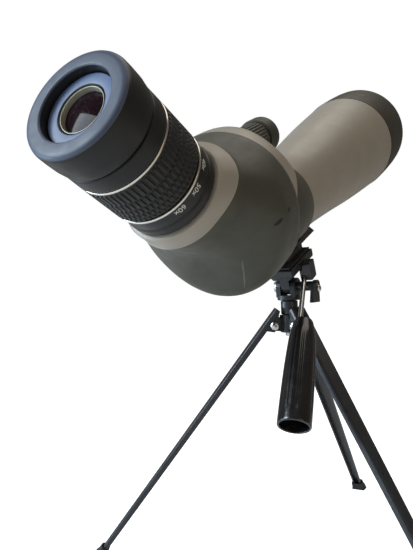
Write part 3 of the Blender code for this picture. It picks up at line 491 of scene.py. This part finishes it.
def seat_point(angle, inset, level=SEAT_T):
    return tilted_ring(angle, seat_radius(angle) - inset, level)


def drum_point(angle, inset, y):
    radius = HOUSING_R - inset
    return Vector((radius * math.cos(angle), y, HOUSING_RISE + radius * math.sin(angle)))


def neck_point(angle, radius, y):
    return Vector((radius * math.cos(angle), y, radius * math.sin(angle)))


def bulb_surface(angle, share):
    """Outside of the swelling between the eyepiece seat and the drum edge."""
    start = seat_point(angle, 0.0)
    end = drum_point(angle, 0.0, HOUSING_PLANE)
    low = max(0.0, -math.sin(angle))
    high = max(0.0, math.sin(angle))
    flare = 0.53 - 0.97 * low + 0.47 * high
    inward = Vector((0.0, math.sin(EYEPIECE_BEND), -math.cos(EYEPIECE_BEND)))
    leaving = (inward + flare * tilted_ring(angle, 1.0, 0.0)).normalized()
    arriving = Vector((0.0, 1.0, 0.225 * low)).normalized()
    reach = (end - start).length
    first = start + leaving * reach * mix(0.83, 0.5, high)
    second = end - arriving * reach * (0.5 + 0.06 * low)
    a = (1.0 - share) ** 3
    b = 3.0 * share * (1.0 - share) ** 2
    c = 3.0 * share * share * (1.0 - share)
    return start * a + first * b + second * c + end * share ** 3


def outward(angle, share):
    """Direction straight out of the swelling."""
    along = bulb_surface(angle, share + 0.01) - bulb_surface(angle, share - 0.01)
    around = bulb_surface(angle + 0.01, share) - bulb_surface(angle - 0.01, share)
    normal = around.cross(along).normalized()
    inside = Vector((0.0, -12.0, 14.0))
    return normal if normal.dot(bulb_surface(angle, share) - inside) >= 0.0 else -normal


def bulb_point(angle, share, inset):
    """The swelling moved inwards along its normal; both rims stay in their own planes."""
    if share <= 0.0:
        return seat_point(angle, inset)
    if share >= 1.0:
        return drum_point(angle, inset, HOUSING_PLANE)
    return bulb_surface(angle, share) - outward(angle, share) * inset


def top_half(angle):
    """One over the bare painted band, none where the armour runs on below."""
    height = elevation(angle)
    return ease(height, BAND_END, BAND_END + 9.0), height


def shoulder_path(angle):
    """Stations (y, share towards the neck) from the drum edge forward to the neck."""
    top, height = top_half(angle)
    edge = HOUSING_PLANE + GAP + 1.0 + 8.2 * ease(height, 0.0, 22.0) + 4.6 * ease(height, 40.0, 85.0)
    low = [(5.8, 0.0), (10.0, 0.05), (15.0, 0.25), (20.0, 0.58), (25.5, 0.88), (31.0, 1.0)]
    high = [(5.8, 0.0), (edge - 1.5, 0.0), (edge - 0.3, 0.06), (edge, 0.2), (edge + 1.2, 0.75),
            (edge + 3.5, 1.0)]
    return [(mix(a[0], b[0], top), mix(a[1], b[1], top)) for a, b in zip(low, high)]


def shoulder_point(angle, station, inset, held=0.0):
    """Point of the shoulder; held gathers it on the neck, clear of the band."""
    y, share = shoulder_path(angle)[station]
    y = mix(y, mix(31.5, 32.0, station / 5.0), held)
    share = mix(share, 1.0, held)
    far = drum_point(angle, inset, y)
    near = neck_point(angle, TUBE_R + GAP + ARMOUR - inset, y)
    return far.lerp(near, share)


def loop_of(function, *values):
    return [function(2.0 * math.pi * (step + 0.5) / AROUND, *values) for step in range(AROUND)]


def build_rear_armour():
    shares = [index / 24.0 for index in range(25)]
    outer = [loop_of(bulb_point, 0.0, 0.35)]
    outer += [loop_of(bulb_point, share, 0.0) for share in shares[1:-1]]
    outer.append(loop_of(lambda a: drum_point(a, 0.0, HOUSING_PLANE - 0.4)))
    outer.append(loop_of(bulb_point, 1.0, 0.3))
    inner = [loop_of(bulb_point, share, ARMOUR) for share in (1.0, 0.82, 0.64, 0.46, 0.28, 0.13, 0.0)]
    piece("armour_rear_skin", loft(outer + inner, closed=True), SCOPE, "scope_body", ARMOUR_RUBBER,
          "green_rubber", "rear_armour", sharp=50.0)


def armour_mark(name, middle, slope, half_long, half_wide, look):
    """Slim oval mark lying on the rear skin; middle and slope are (angle in degrees, share) pairs."""
    angle, share = math.radians(middle[0]), middle[1]
    swing, climb = math.radians(slope[0]), slope[1]
    run = bulb_surface(angle + swing, share + climb) - bulb_surface(angle, share)
    out = outward(angle, share)
    sideways = out.cross(run.normalized())
    loops = []
    for lift, size in ((-0.5, 1.0), (MARK_LIFT * 0.6, 1.0), (MARK_LIFT, 0.7), (MARK_LIFT, 0.05)):
        loop = []
        for step in range(48):
            around = 2.0 * math.pi * step / 48
            part = size * half_long * math.cos(around) / run.length
            base = bulb_surface(angle + swing * part, share + climb * part)
            loop.append(base + sideways * size * half_wide * math.sin(around) + out * lift)
        loops.append(loop)
    piece(name, loft(loops), SCOPE, "scope_body", look, "green_rubber")


def build_armour_marks():
    """Painted shade of two small slots low on the right of the skin, and a painted highlight on the fine
    line its mould left underneath.
    """
    # Flat dark ovals on the skin stand in for the shade inside the two slots.
    armour_mark("armour_slot_long_shade", (-5.0, 0.392), (3.0, 0.058), 2.7, 0.9, INNER_BLACK_AND_SLOT_SHADE)
    armour_mark("armour_slot_short_shade", (2.0, 0.675), (1.0, 0.125), 2.4, 0.8, SLOT_SHADE)
    # The mould line is drawn lighter than the skin as a painted highlight.
    armour_mark("armour_mould_highlight", (-55.5, 0.467), (-13.5, 0.183), 9.0, 0.38, MOULD_LINE_HIGHLIGHT)


def smooth_stations(function, count, per=4):
    """Loops through the stations of a shoulder, with rounded steps between them."""
    loops = []
    for index in range(count - 1):
        for step in range(per):
            share = step / per
            before = max(0, index - 1)
            after = min(count - 1, index + 2)

            def spot(a, i=index, t=share, p=before, n=after):
                p0, p1, p2, p3 = function(a, p), function(a, i), function(a, i + 1), function(a, n)
                run = p1 * 2 + (p2 - p0) * t + (p0 * 2 - p1 * 5 + p2 * 4 - p3) * t * t
                return (run + (p1 * 3 - p0 - p2 * 3 + p3) * t ** 3) * 0.5

            loops.append(loop_of(spot))
    loops.append(loop_of(function, count - 1))
    return loops


def build_neck_armour():
    def outside(angle, station):
        held = ease(top_half(angle)[1], BAND_END - 18.0, BAND_END - 9.0)
        return shoulder_point(angle, station, 0.0, held)

    def inside(angle, station):
        held = ease(top_half(angle)[1], BAND_END - 18.0, BAND_END - 9.0)
        return shoulder_point(angle, station, ARMOUR, held)

    radius = TUBE_R + GAP + ARMOUR
    outer = smooth_stations(outside, 6)
    for y in (36.0, 50.0, NECK_FRONT - 0.8):
        outer.append(loop_of(neck_point, radius, y))
    outer.append(loop_of(neck_point, radius - 0.25, NECK_FRONT - 0.2))
    outer.append(loop_of(neck_point, radius - 0.8, NECK_FRONT))
    inner = [loop_of(neck_point, TUBE_R + GAP, NECK_FRONT), loop_of(neck_point, TUBE_R + GAP, 33.5)]
    inner += [loop_of(inside, station) for station in (4, 3, 2, 1, 0)]
    piece("armour_neck_skin", loft(outer + inner, closed=True), SCOPE, "scope_body", ARMOUR_RUBBER,
          "green_rubber", "neck_armour", sharp=50.0)


def drill(made, tool):
    """Cut a solid, given in millimetres in the frame of the piece, out of a finished piece."""
    bmesh.ops.recalc_face_normals(tool, faces=tool.faces)
    bmesh.ops.scale(tool, vec=(MM, MM, MM), verts=tool.verts)
    shape = bpy.data.meshes.new("drill")
    tool.to_mesh(shape)
    tool.free()
    helper = bpy.data.objects.new("drill", shape)
    bpy.context.scene.collection.objects.link(helper)
    helper.matrix_world = made.matrix_world
    cut = made.modifiers.new("drill", "BOOLEAN")
    cut.operation = "DIFFERENCE"
    cut.solver = "EXACT"
    cut.object = helper
    bpy.context.view_layer.update()
    view = bpy.context.evaluated_depsgraph_get()
    made.data = bpy.data.meshes.new_from_object(made.evaluated_get(view))
    made.modifiers.clear()
    bpy.data.objects.remove(helper, do_unlink=True)


def build_housing():
    cover = ARMOUR + 0.5
    inner = cover + 2.0
    bore = TUBE_R + GAP

    def shoulder(angle, station):
        return shoulder_point(angle, station, cover * (1.0 - top_half(angle)[0]))

    loops = [loop_of(tilted_ring, SEAT_HOLE_R, SEAT_T - GAP), loop_of(seat_point, cover, SEAT_T - GAP)]
    loops += [loop_of(bulb_point, share, cover) for share in (0.05, 0.13, 0.28, 0.46, 0.64, 0.82, 1.0)]
    loops += smooth_stations(shoulder, 6)
    loops.append(loop_of(lambda a: neck_point(a, bore, mix(33.0, 27.0, top_half(a)[0]))))
    loops.append(loop_of(neck_point, bore, 10.0))
    loops.append(loop_of(lambda a: drum_point(a, inner, WALL_Y).lerp(neck_point(a, bore, WALL_Y), 0.35)))
    loops += [loop_of(bulb_point, share, inner) for share in (0.94, 0.7, 0.45, 0.22, 0.06)]
    loops.append(loop_of(tilted_ring, SEAT_HOLE_R, SEAT_T - GAP - 2.0))
    made = piece("housing_band", loft(loops, closed=True), SCOPE, "scope_body", PAINT, "grey_paint",
                 "prism_housing", sharp=50.0)
    drill(made, turned([(SHAFT_HOLE_R, 2.0), (SHAFT_HOLE_R, 34.0)], False, "Y", (0.0, KNOB_HEIGHT), 48))


# ---------------------------------------------------------------- tube, sunshade and lenses


def build_tube():
    stations = [(TUBE_R, 66.0), (24.3, 82.0), (27.1, 115.0), (31.8, 160.0), (35.3, 203.0),
                (36.1, TUBE_FRONT)]
    outer = [(TUBE_R, 12.0)] + curve_through(stations) + [(SPIGOT_R, TUBE_FRONT), (SPIGOT_R, SPIGOT_END)]
    ledge = TUBE_FRONT + 7.0
    bore = OBJECTIVE_R + GAP
    inner = [(bore, SPIGOT_END), (bore, ledge), (OBJECTIVE_R - 2.0, ledge),
             (OBJECTIVE_R - 2.0, ledge - 3.0), (33.2, 203.0), (25.3, 115.0), (21.7, 66.0), (21.7, 12.0)]
    tube = piece("tube_shell", turned(outer + inner, axis="Y"), SCOPE, "scope_body", PAINT, "grey_paint",
                 "main_tube", extra=[INNER_BLACK_AND_SLOT_SHADE])
    for face in tube.data.polygons:
        spot = face.center / MM
        inside = math.hypot(spot.x, spot.z) < 31.5 and spot.y > ledge - 4.0
        if inside or spot.y > TUBE_FRONT + 0.5:
            face.material_index = 1


def build_sunshade():
    start = TUBE_FRONT + GAP
    end = start + SUNSHADE_LENGTH
    bore = SPIGOT_R + GAP
    profile = [(bore, start, 0.1), (36.5, start, 0.5), (36.75, start + 18.0, 0.0),
               (36.6, start + 34.0, 0.0), (36.1, end - 2.0, 1.0), (35.5, end, 0.6),
               (bore - 0.6, end, 0.4), (bore - 0.6, end - 3.0, 0.2), (bore, end - 3.2, 0.2)]
    piece("sunshade_shell", turned(profile, axis="Y"), SCOPE, "sunshade_body", HOOD_PLASTIC,
          "olive_plastic", "sunshade")


def lens_profile(radius, back, thick, bulge_back, bulge_front):
    back_edge = back + max(bulge_back, 0.0)
    front_edge = back + thick - max(bulge_front, 0.0)
    shares = [0.02] + [step / 12.0 for step in range(1, 13)]
    low = [(radius * s, back_edge - bulge_back * (1.0 - s * s), 0.0) for s in shares]
    high = [(radius * s, front_edge + bulge_front * (1.0 - s * s), 0.0) for s in reversed(shares)]
    return low + high


def build_objective():
    first = TUBE_FRONT + 7.0 + GAP
    second = first + 5.5 + GAP
    ring = second + 5.5 + GAP
    rear = turned(lens_profile(OBJECTIVE_R, first, 5.5, -2.0, 0.6), False, "Y")
    front = turned(lens_profile(OBJECTIVE_R, second, 5.5, 2.0, 2.2), False, "Y")
    piece("objective_rear_glass", rear, SCOPE, "scope_body", FRONT_GLASS, "lens_glass",
          "objective_lens_rear")
    piece("objective_front_glass", front, SCOPE, "scope_body", FRONT_GLASS, "lens_glass",
          "objective_lens_front")
    clamp = [(OBJECTIVE_R - 2.0, ring + 2.6), (OBJECTIVE_R, ring + 2.6), (OBJECTIVE_R, ring + 5.0),
             (OBJECTIVE_R - 1.2, ring + 5.0)]
    piece("objective_clamp", turned(clamp, axis="Y"), SCOPE, "scope_body", LEG_PAINT, "black_metal",
          "objective_retaining_ring")


# ---------------------------------------------------------------- eyepiece


def seat_rim(inset, level):
    points = []
    for step in range(AROUND):
        angle = 2.0 * math.pi * (step + 0.5) / AROUND
        radius = seat_radius(angle) - inset
        points.append((radius * math.cos(angle), radius * math.sin(angle), level))
    return points


def build_seat():
    def ring(radius, level):
        return wheel(radius, level, AROUND, "Z", (0.0, 0.0))

    spigot = SEAT_HOLE_R - GAP
    loops = [ring(20.1, 49.4), ring(18.3, 49.4), ring(18.3, 42.0), ring(spigot, 42.0),
             ring(spigot, SEAT_T + GAP), seat_rim(0.25, SEAT_T + GAP), seat_rim(0.0, SEAT_T + 0.6),
             seat_rim(0.3, SEAT_T + 1.2)]
    start = seat_rim(0.45, SEAT_T + 1.5)
    end = ring(24.6, 52.6)
    for share in (0.0, 0.2, 0.4, 0.6, 0.8, 0.94):
        loops.append([Vector(a).lerp(Vector(b), share) for a, b in zip(start, end)])
    loops += [ring(24.55, 52.9), ring(24.3, 53.4), ring(23.8, 53.75), ring(23.4, 53.8), ring(20.1, 53.8)]
    piece("seat_collar", loft(loops, closed=True), EYE, "scope_body", PAINT, "grey_paint",
          "eyepiece_seat", sharp=50.0)


def build_scale_ring():
    profile = [(20.1, 54.1), (22.2, 54.1), (22.9, 55.0, 0.4), (22.9, 58.6, 0.4), (22.3, 59.1, 0.2),
               (22.3, 59.6, 0.2), (SCALE_R, 60.0, 0.2), (SCALE_R, 66.2), (20.1, 66.2)]
    piece("scale_ring", turned(profile), EYE, "scope_body", SCALE_PLASTIC, "black_plastic",
          "zoom_scale_ring")
    for text, angle in (("60x", -48.0), ("50x", -21.0), ("40x", 9.0), ("30x", 37.0), ("20x", 66.0)):
        build_number(text, angle)


def build_number(text, degrees):
    """One printed zoom number wrapped on the scale ring, its top towards the housing."""
    curve = bpy.data.curves.new("number_text", "FONT")
    curve.body = text
    curve.size = NUMBER_HEIGHT * 1.35
    curve.align_x = "CENTER"
    curve.resolution_u = 4
    source = bpy.data.objects.new("number_text", curve)
    bpy.context.scene.collection.objects.link(source)
    bpy.context.view_layer.update()
    flat = bpy.data.meshes.new_from_object(source.evaluated_get(bpy.context.evaluated_depsgraph_get()))
    bm = bmesh.new()
    bm.from_mesh(flat)
    bpy.data.objects.remove(source, do_unlink=True)
    bpy.data.meshes.remove(flat)
    bmesh.ops.triangulate(bm, faces=bm.faces)
    middle = math.radians(degrees)
    reach = SCALE_R + 0.04
    for vertex in bm.verts:
        angle = middle - vertex.co.x / reach
        level = NUMBER_T + NUMBER_HEIGHT / 2.0 - vertex.co.y
        vertex.co = (reach * math.cos(angle), reach * math.sin(angle), level)
    solid = bmesh.ops.extrude_face_region(bm, geom=bm.faces[:])
    for vertex in [item for item in solid["geom"] if isinstance(item, bmesh.types.BMVert)]:
        vertex.co.x *= (reach - 0.3) / reach
        vertex.co.y *= (reach - 0.3) / reach
    piece("number_" + text, bm, EYE, "scope_body", NUMBER_PAINT, "black_plastic")


def build_trims():
    for name, low, body in (("lower", 66.4, "scope_body"), ("upper", 91.2, "zoom_ring")):
        high = low + 1.2
        profile = [(21.3, low), (EYEPIECE_R - 0.1, low, 0.1), (EYEPIECE_R + 0.2, low + 0.3, 0.2),
                   (EYEPIECE_R + 0.2, high - 0.3, 0.2), (EYEPIECE_R - 0.1, high, 0.1), (21.3, high)]
        piece("trim_" + name, turned(profile, corner=0.1), EYE, body, TRIM_STEEL, "bright_metal",
              name + "_trim_ring")


def build_zoom_grip():
    """Rubber ring with rows of short ribs along the axis; each row is shifted by half a rib."""
    low, high = 67.9, 90.9
    rows = ((68.8, 70.7), (71.1, 73.6), (74.0, 77.3), (77.7, 82.3), (82.7, 90.1))
    ribs = 60

    def radius_at(angle, height):
        radius = EYEPIECE_R - 0.5
        edge = min(height - low, high - height)
        radius -= 0.3 * (1.0 - ease(edge, 0.0, 0.7))
        for index, (start, end) in enumerate(rows):
            inside = ease(height, start, start + 0.5) * (1.0 - ease(height, end - 0.5, end))
            if inside <= 0.0:
                continue
            wave = 0.5 + 0.5 * math.cos(ribs * angle + math.pi * index)
            radius += 0.75 * inside * ease(wave, 0.12, 0.5)
        return radius

    stations = [low, low + 0.25, low + 0.5, low + 0.8]
    for start, end in rows:
        stations += [start, start + 0.2, start + 0.35, start + 0.5, (start + end) / 2.0]
        stations += [end - 0.5, end - 0.35, end - 0.2, end]
    stations += [high - 0.5, high - 0.25, high]
    bm = carved(stations, 21.3, radius_at, ribs * 12)
    piece("zoom_ring_rubber", bm, EYE, "zoom_ring", GRIP_RUBBER, "black_rubber", "zoom_grip", sharp=60.0)


def build_eyecup():
    collar = [(16.1, 92.6), (22.6, 92.6, 0.3), (23.0, 93.4, 0.3), (22.9, 100.7, 0.4), (22.1, 101.2, 0.2),
              (20.1, 101.2), (20.1, 93.8), (16.1, 93.8)]
    piece("eyecup_base", turned(collar), EYE, "scope_body", CUP_RUBBER, "black_plastic", "eyecup_collar")
    cup = [(20.0, 101.5), (22.0, 101.5, 0.2), (22.9, 102.0, 0.4), (CUP_R - 0.1, 107.0, 0.0),
           (CUP_R, 112.0, 0.0), (CUP_R - 0.1, 116.4, 0.8), (22.9, 118.0, 0.8), (21.4, CUP_FACE_T, 0.8),
           (CUP_BORE + 0.6, CUP_FACE_T, 0.3), (CUP_BORE, 118.0, 0.4), (CUP_BORE, 112.0), (20.0, 112.0)]
    made = piece("eyecup_rubber_shell", turned(cup), EYE, "eyecup_body", CUP_RUBBER, "black_rubber",
                 "eyecup", extra=[CUP_FACE_REFLECTION])
    # Faces on the flat top of the cup take the blue-grey painted reflection.
    for face in made.data.polygons:
        spot = face.center / MM
        reach = math.hypot(spot.x, spot.y)
        if spot.z > CUP_FACE_T - 1.6 and reach > CUP_BORE + 0.1:
            face.material_index = 1


def build_eye_head():
    bore = EYE_LENS_R + GAP
    barrel = [(18.0, 49.8), (19.7, 49.8), (19.7, 92.2), (EYE_HEAD_R, 92.2),
              (EYE_HEAD_R, EYE_HEAD_T, 0.5), (bore + 0.5, EYE_HEAD_T, 0.2), (bore, EYE_HEAD_T - 0.7, 0.3),
              (bore, 107.0), (8.4, 107.0), (8.4, 104.6), (11.5, 100.0), (11.5, 90.0), (17.5, 90.0),
              (17.5, 50.6), (16.0, 50.6), (16.0, 40.0), (18.0, 40.0)]
    made = piece("eyepiece_head", turned(barrel), EYE, "scope_body", SATIN_BLACK, "black_metal",
                 "eyepiece_barrel", extra=[RECESS_REFLECTION])
    # The flat annulus on top of the eyepiece head takes the light blue painted reflection.
    for face in made.data.polygons:
        spot = face.center / MM
        if spot.z > EYE_HEAD_T - 0.1 and math.hypot(spot.x, spot.y) > bore + 0.6:
            face.material_index = 1
    ring_low = EYE_LENS_T + EYE_LENS_THICK - EYE_LENS_BULGE + GAP
    clamp = [(EYE_LENS_R - 0.8, ring_low, 0.1), (EYE_LENS_R, ring_low, 0.1),
             (EYE_LENS_R, EYE_HEAD_T - 0.4, 0.2), (EYE_LENS_R - 0.4, EYE_HEAD_T - 0.4, 0.15)]
    piece("eye_lens_clamp", turned(clamp), EYE, "scope_body", LENS_RING_METAL, "ring_metal",
          "eye_lens_ring")
    glass = turned(lens_profile(EYE_LENS_R, EYE_LENS_T, EYE_LENS_THICK, 0.4, EYE_LENS_BULGE), False)
    piece("eye_lens_glass", glass, EYE, "scope_body", EYE_GLASS, "lens_glass", "eye_lens")


# ---------------------------------------------------------------- focus drive


def build_focus():
    axis = (0.0, KNOB_HEIGHT)
    ribs = 30
    rear, front = KNOB_REAR, 57.2

    def knob_radius(angle, height):
        radius = KNOB_R - 0.8 * (1.0 - ease(min(height - rear, front + 0.3 - height), 0.0, 1.0))
        groove = 0.5 - 0.5 * math.cos(ribs * angle)
        along = ease(height, rear + 0.8, rear + 1.6) * (1.0 - ease(height, front - 1.4, front - 0.6))
        return radius - 0.55 * along * groove ** 3

    stations = [rear, rear + 0.25, rear + 0.5, rear + 0.8, rear + 1.2, rear + 1.6, 40.0, front - 1.4,
                front - 1.0, front - 0.6, front - 0.3, front]
    bm = carved(stations, 2.8, knob_radius, ribs * 10, "Y", axis)
    piece("focus_knob_grip", bm, SCOPE, "focus_drive", KNOB_PLASTIC, "olive_plastic", "focus_knob",
          sharp=60.0)
    cap = [(2.8, 57.5), (KNOB_CAP_R - 0.5, 57.5, 0.3), (KNOB_CAP_R, 58.3, 0.4),
           (KNOB_CAP_R, KNOB_FRONT - 1.8, 1.2), (KNOB_CAP_R - 2.0, KNOB_FRONT, 1.2),
           (2.2, KNOB_FRONT, 0.3), (1.2, KNOB_FRONT - 0.6, 0.2), (1.2, 60.4), (2.8, 60.4)]
    piece("focus_knob_end", turned(cap, axis="Y", centre=axis), SCOPE, "focus_drive", KNOB_PLASTIC,
          "olive_plastic", "focus_knob_cap")
    shaft = turned([(2.5, -7.5), (2.5, 60.0)], False, "Y", axis, 48)
    piece("focus_spindle", shaft, SCOPE, "focus_drive", BRIGHT_STEEL, "bright_metal", "focus_shaft")


# ---------------------------------------------------------------- head, handle and tripod


def build_handle():
    rod = [(ROD_R - 0.4, -12.2), (ROD_R, -11.8, 0.1), (ROD_R, GRIP_START + 20.0)]
    bar = turned(rod, False, centre=(ROD_SHIFT, 0.0), steps=64)
    piece("handle_bar", bar, HANDLE, "scope_body", BRIGHT_STEEL, "bright_metal", "handle_rod")
    start = GRIP_START
    end = start + GRIP_LENGTH
    outline = [(4.4, start), (4.5, start + 0.1), (4.8, start + 0.5), (5.4, start + 1.6), (6.2, start + 5.0),
               (7.5, start + 12.0), (8.5, start + 30.0), (8.95, start + 50.0), (9.0, end - 6.0),
               (9.0, end - 1.0)]

    def fluted(radius, height, depth):
        points = []
        for step in range(GRIP_FLUTES * 12):
            angle = 2.0 * math.pi * step / (GRIP_FLUTES * 12)
            hollow = max(0.0, math.cos(GRIP_FLUTES * angle)) ** 2
            reach = radius - depth * hollow
            points.append((reach * math.cos(angle), reach * math.sin(angle), height))
        return points

    loops = []
    for radius, height, _ in curve_through(outline, 5):
        depth = 0.3 * ease(height, start + 6.0, start + 16.0) * (1.0 - ease(height, end - 9.0, end - 6.0))
        loops.append(fluted(radius, height, depth))
    lip = [(8.95, end - 0.4), (8.75, end - 0.1), (8.4, end), (8.0, end), (7.8, end - 0.2),
           (7.7, end - 0.6), (7.1, start + 30.0), (4.8, start + 25.0)]
    loops += [fluted(radius, height, 0.0) for radius, height in lip]
    for height in (start + 24.0, start):
        loops.append(wheel(ROD_R + GAP, height, GRIP_FLUTES * 12, "Z", (ROD_SHIFT, 0.0)))
    piece("handle_grip_shell", loft(loops, closed=True), HANDLE, "scope_body", GLOSS_BLACK,
          "gloss_plastic", "handle_grip", sharp=60.0)


def build_head():
    for node, width in (("camera_plate", 0.4), ("tilt_tongue", 0.3), ("handle_socket", 0.5),
                        ("pan_body", 0.35), ("tilt_lever", 0.4), ("mount_foot", 0.25),
                        ("leg_spider", 0.3)):
        soften(node, width, SATIN_BLACK)
    soften("plate_pad", 0.2, SHOE_RUBBER)
    soften("clamp_spacer", 0.3, SATIN_BLACK)
    soften("tilt_bolt", 0.3, BRIGHT_STEEL)
    stud_low = 19.4
    stud = [(0.05, stud_low), (2.2, stud_low, 0.1), (2.2, stud_low + 0.4, 0.2),
            (1.7, stud_low + 1.0, 0.5), (0.8, stud_low + 1.35, 0.3), (0.05, stud_low + 1.4)]
    sideways = TILT @ at(0.0, 0.0, -1.6) @ turn(90.0, "Y")
    piece("lever_stud_dome", turned(stud, False, steps=48), sideways, "clamp_lever", BRIGHT_STEEL,
          "bright_metal", "lever_stud")
    post = [(2.9, -18.0), (2.9, -8.6, 0.0), (POST_R - 0.3, -8.6, 0.1), (POST_R, -8.2, 0.2),
            (POST_R, -0.7, 0.3), (POST_R - 0.4, -0.3, 0.2), (2.9, -0.3, 0.0), (2.9, 1.2)]
    piece("post_column", turned(post, False, steps=64), HUB, "tripod_hub", LEG_PAINT, "black_metal",
          "centre_post")


def build_legs():
    half = LEG_HALF_W + GAP
    for name in ("front", "left", "right"):
        soften("leg_" + name, 0.35, LEG_PAINT)
        soften("shoe_" + name, 0.5, SHOE_RUBBER)
        axis = joint_axis(name + "_leg_fold")
        place = Matrix.Translation(joint_point(name + "_leg_fold"))
        place = place @ Vector((0.0, 0.0, 1.0)).rotation_difference(axis).to_matrix().to_4x4()
        dome = [(0.05, half + 1.5), (0.9, half + 1.42), (1.8, half + 1.1), (2.5, half + 0.55),
                (RIVET_HEAD_R, half), (1.5, half)]
        profile = [(r, -h, 0.2) for r, h in dome] + [(r, h, 0.2) for r, h in reversed(dome)]
        piece("rivet_dome_" + name, turned(profile, False, steps=48), place, "tripod_hub", BRIGHT_STEEL,
              "bright_metal", "rivet_" + name)


# ---------------------------------------------------------------- studio


def area_light(name, direction, distance, size, power, colour):
    """Soft rectangular light that looks at the middle of the object."""
    low, high = CAD_BOX
    middle = (Vector(low) + Vector(high)) / 2.0
    data = bpy.data.lights.new(name, "AREA")
    data.shape = "RECTANGLE"
    data.size = size[0]
    data.size_y = size[1]
    data.energy = power
    data.color = colour
    lamp = bpy.data.objects.new(name, data)
    bpy.context.scene.collection.objects.link(lamp)
    towards = Vector(direction).normalized()
    lamp.location = middle + towards * distance
    lamp.rotation_euler = towards.to_track_quat("Z", "Y").to_euler()


def glow_floor(look):
    """Lift the floor to the white of the backdrop; the lift is seen but lights nothing."""
    tree = look.node_tree
    shader = tree.nodes["Principled BSDF"]
    path = tree.nodes.new("ShaderNodeLightPath")
    lift = tree.nodes.new("ShaderNodeMath")
    lift.operation = "MULTIPLY"
    lift.inputs[1].default_value = 0.97
    tree.links.new(path.outputs["Is Camera Ray"], lift.inputs[0])
    shader.inputs["Emission Color"].default_value = grey(1.0)
    tree.links.new(lift.outputs[0], shader.inputs["Emission Strength"])


def build_floor():
    """Wide pale disc with a faint uneven matt finish."""
    look = surface("studio_floor", (0.92, 0.92, 0.92), 0.75, blotch=0.01, grain=60.0, depth=0.02)
    glow_floor(look)
    bm = bmesh.new()
    bmesh.ops.create_circle(bm, cap_ends=True, segments=96, radius=6.0)
    mesh = bpy.data.meshes.new("studio_floor")
    bm.to_mesh(mesh)
    bm.free()
    mesh.materials.append(look)
    floor = bpy.data.objects.new("studio_floor", mesh)
    floor.location.z = CAD_BOX[0][2]
    bpy.context.scene.collection.objects.link(floor)


def build_studio():
    build_floor()
    world = bpy.data.worlds.new("studio_world")
    world.use_nodes = True
    bpy.context.scene.world = world
    tree = world.node_tree
    background = tree.nodes["Background"]
    background.inputs["Color"].default_value = (1.0, 0.92, 0.82, 1.0)
    background.inputs["Strength"].default_value = 0.12
    white = tree.nodes.new("ShaderNodeBackground")
    white.inputs["Color"].default_value = grey(1.0)
    white.inputs["Strength"].default_value = 1.0
    path = tree.nodes.new("ShaderNodeLightPath")
    join = tree.nodes.new("ShaderNodeMixShader")
    tree.links.new(path.outputs["Is Camera Ray"], join.inputs[0])
    tree.links.new(background.outputs[0], join.inputs[1])
    tree.links.new(white.outputs[0], join.inputs[2])
    tree.links.new(join.outputs[0], tree.nodes["World Output"].inputs["Surface"])
    area_light("window_left", (-0.55, -0.62, 0.46), 1.3, (0.55, 0.65), 14.5, (0.80, 0.90, 1.0))
    area_light("low_left", (-0.85, -0.50, -0.02), 1.3, (0.5, 0.3), 5.0, (0.55, 0.76, 1.0))
    area_light("overhead", (0.1, 0.25, 1.0), 1.4, (1.3, 1.3), 7.5, (1.0, 0.94, 0.84))
    area_light("right_fill", (1.0, -0.45, 0.15), 1.6, (0.7, 1.2), 2.0, (1.0, 0.72, 0.45))
    bpy.context.scene.view_settings.view_transform = "Standard"


CAMERA_OFFSET = (150.48, -275.54, -19.58)
CAMERA_AZIMUTH = 30.63
CAMERA_ELEVATION = -0.49
CAMERA_ROLL = -2.33
CAMERA_LENS = 40.43
SENSOR_SIDE = 36.0


def build_camera():
    """Camera just right of the eyepiece, level with the prism housing."""
    data = bpy.data.cameras.new("main_camera")
    data.sensor_fit = "VERTICAL"
    data.sensor_height = SENSOR_SIDE
    data.lens = CAMERA_LENS
    data.clip_start = 0.01
    camera = bpy.data.objects.new("main_camera", data)
    bpy.context.scene.collection.objects.link(camera)
    facing = turn(CAMERA_AZIMUTH, "Z") @ turn(90.0 - CAMERA_ELEVATION, "X") @ turn(CAMERA_ROLL, "Z")
    camera.matrix_world = Matrix.Translation(ORIGIN) @ at(*CAMERA_OFFSET) @ facing
    bpy.context.scene.camera = camera


def dress_hidden_nodes():
    """Every CAD node that stays gets a procedural finish of its own slot."""
    slots = {part["node"]: part["material_slot"] for part in frame["record"]["subparts"]}
    for name, node in NODES.items():
        node.material_slots[0].material = SLOT_LOOKS[slots[name]]


def main():
    build_camera()
    dress_hidden_nodes()
    build_rear_armour()
    build_armour_marks()
    build_neck_armour()
    build_housing()
    build_tube()
    build_sunshade()
    build_objective()
    build_seat()
    build_scale_ring()
    build_trims()
    build_zoom_grip()
    build_eyecup()
    build_eye_head()
    build_focus()
    build_handle()
    build_head()
    build_legs()
    build_studio()


main()
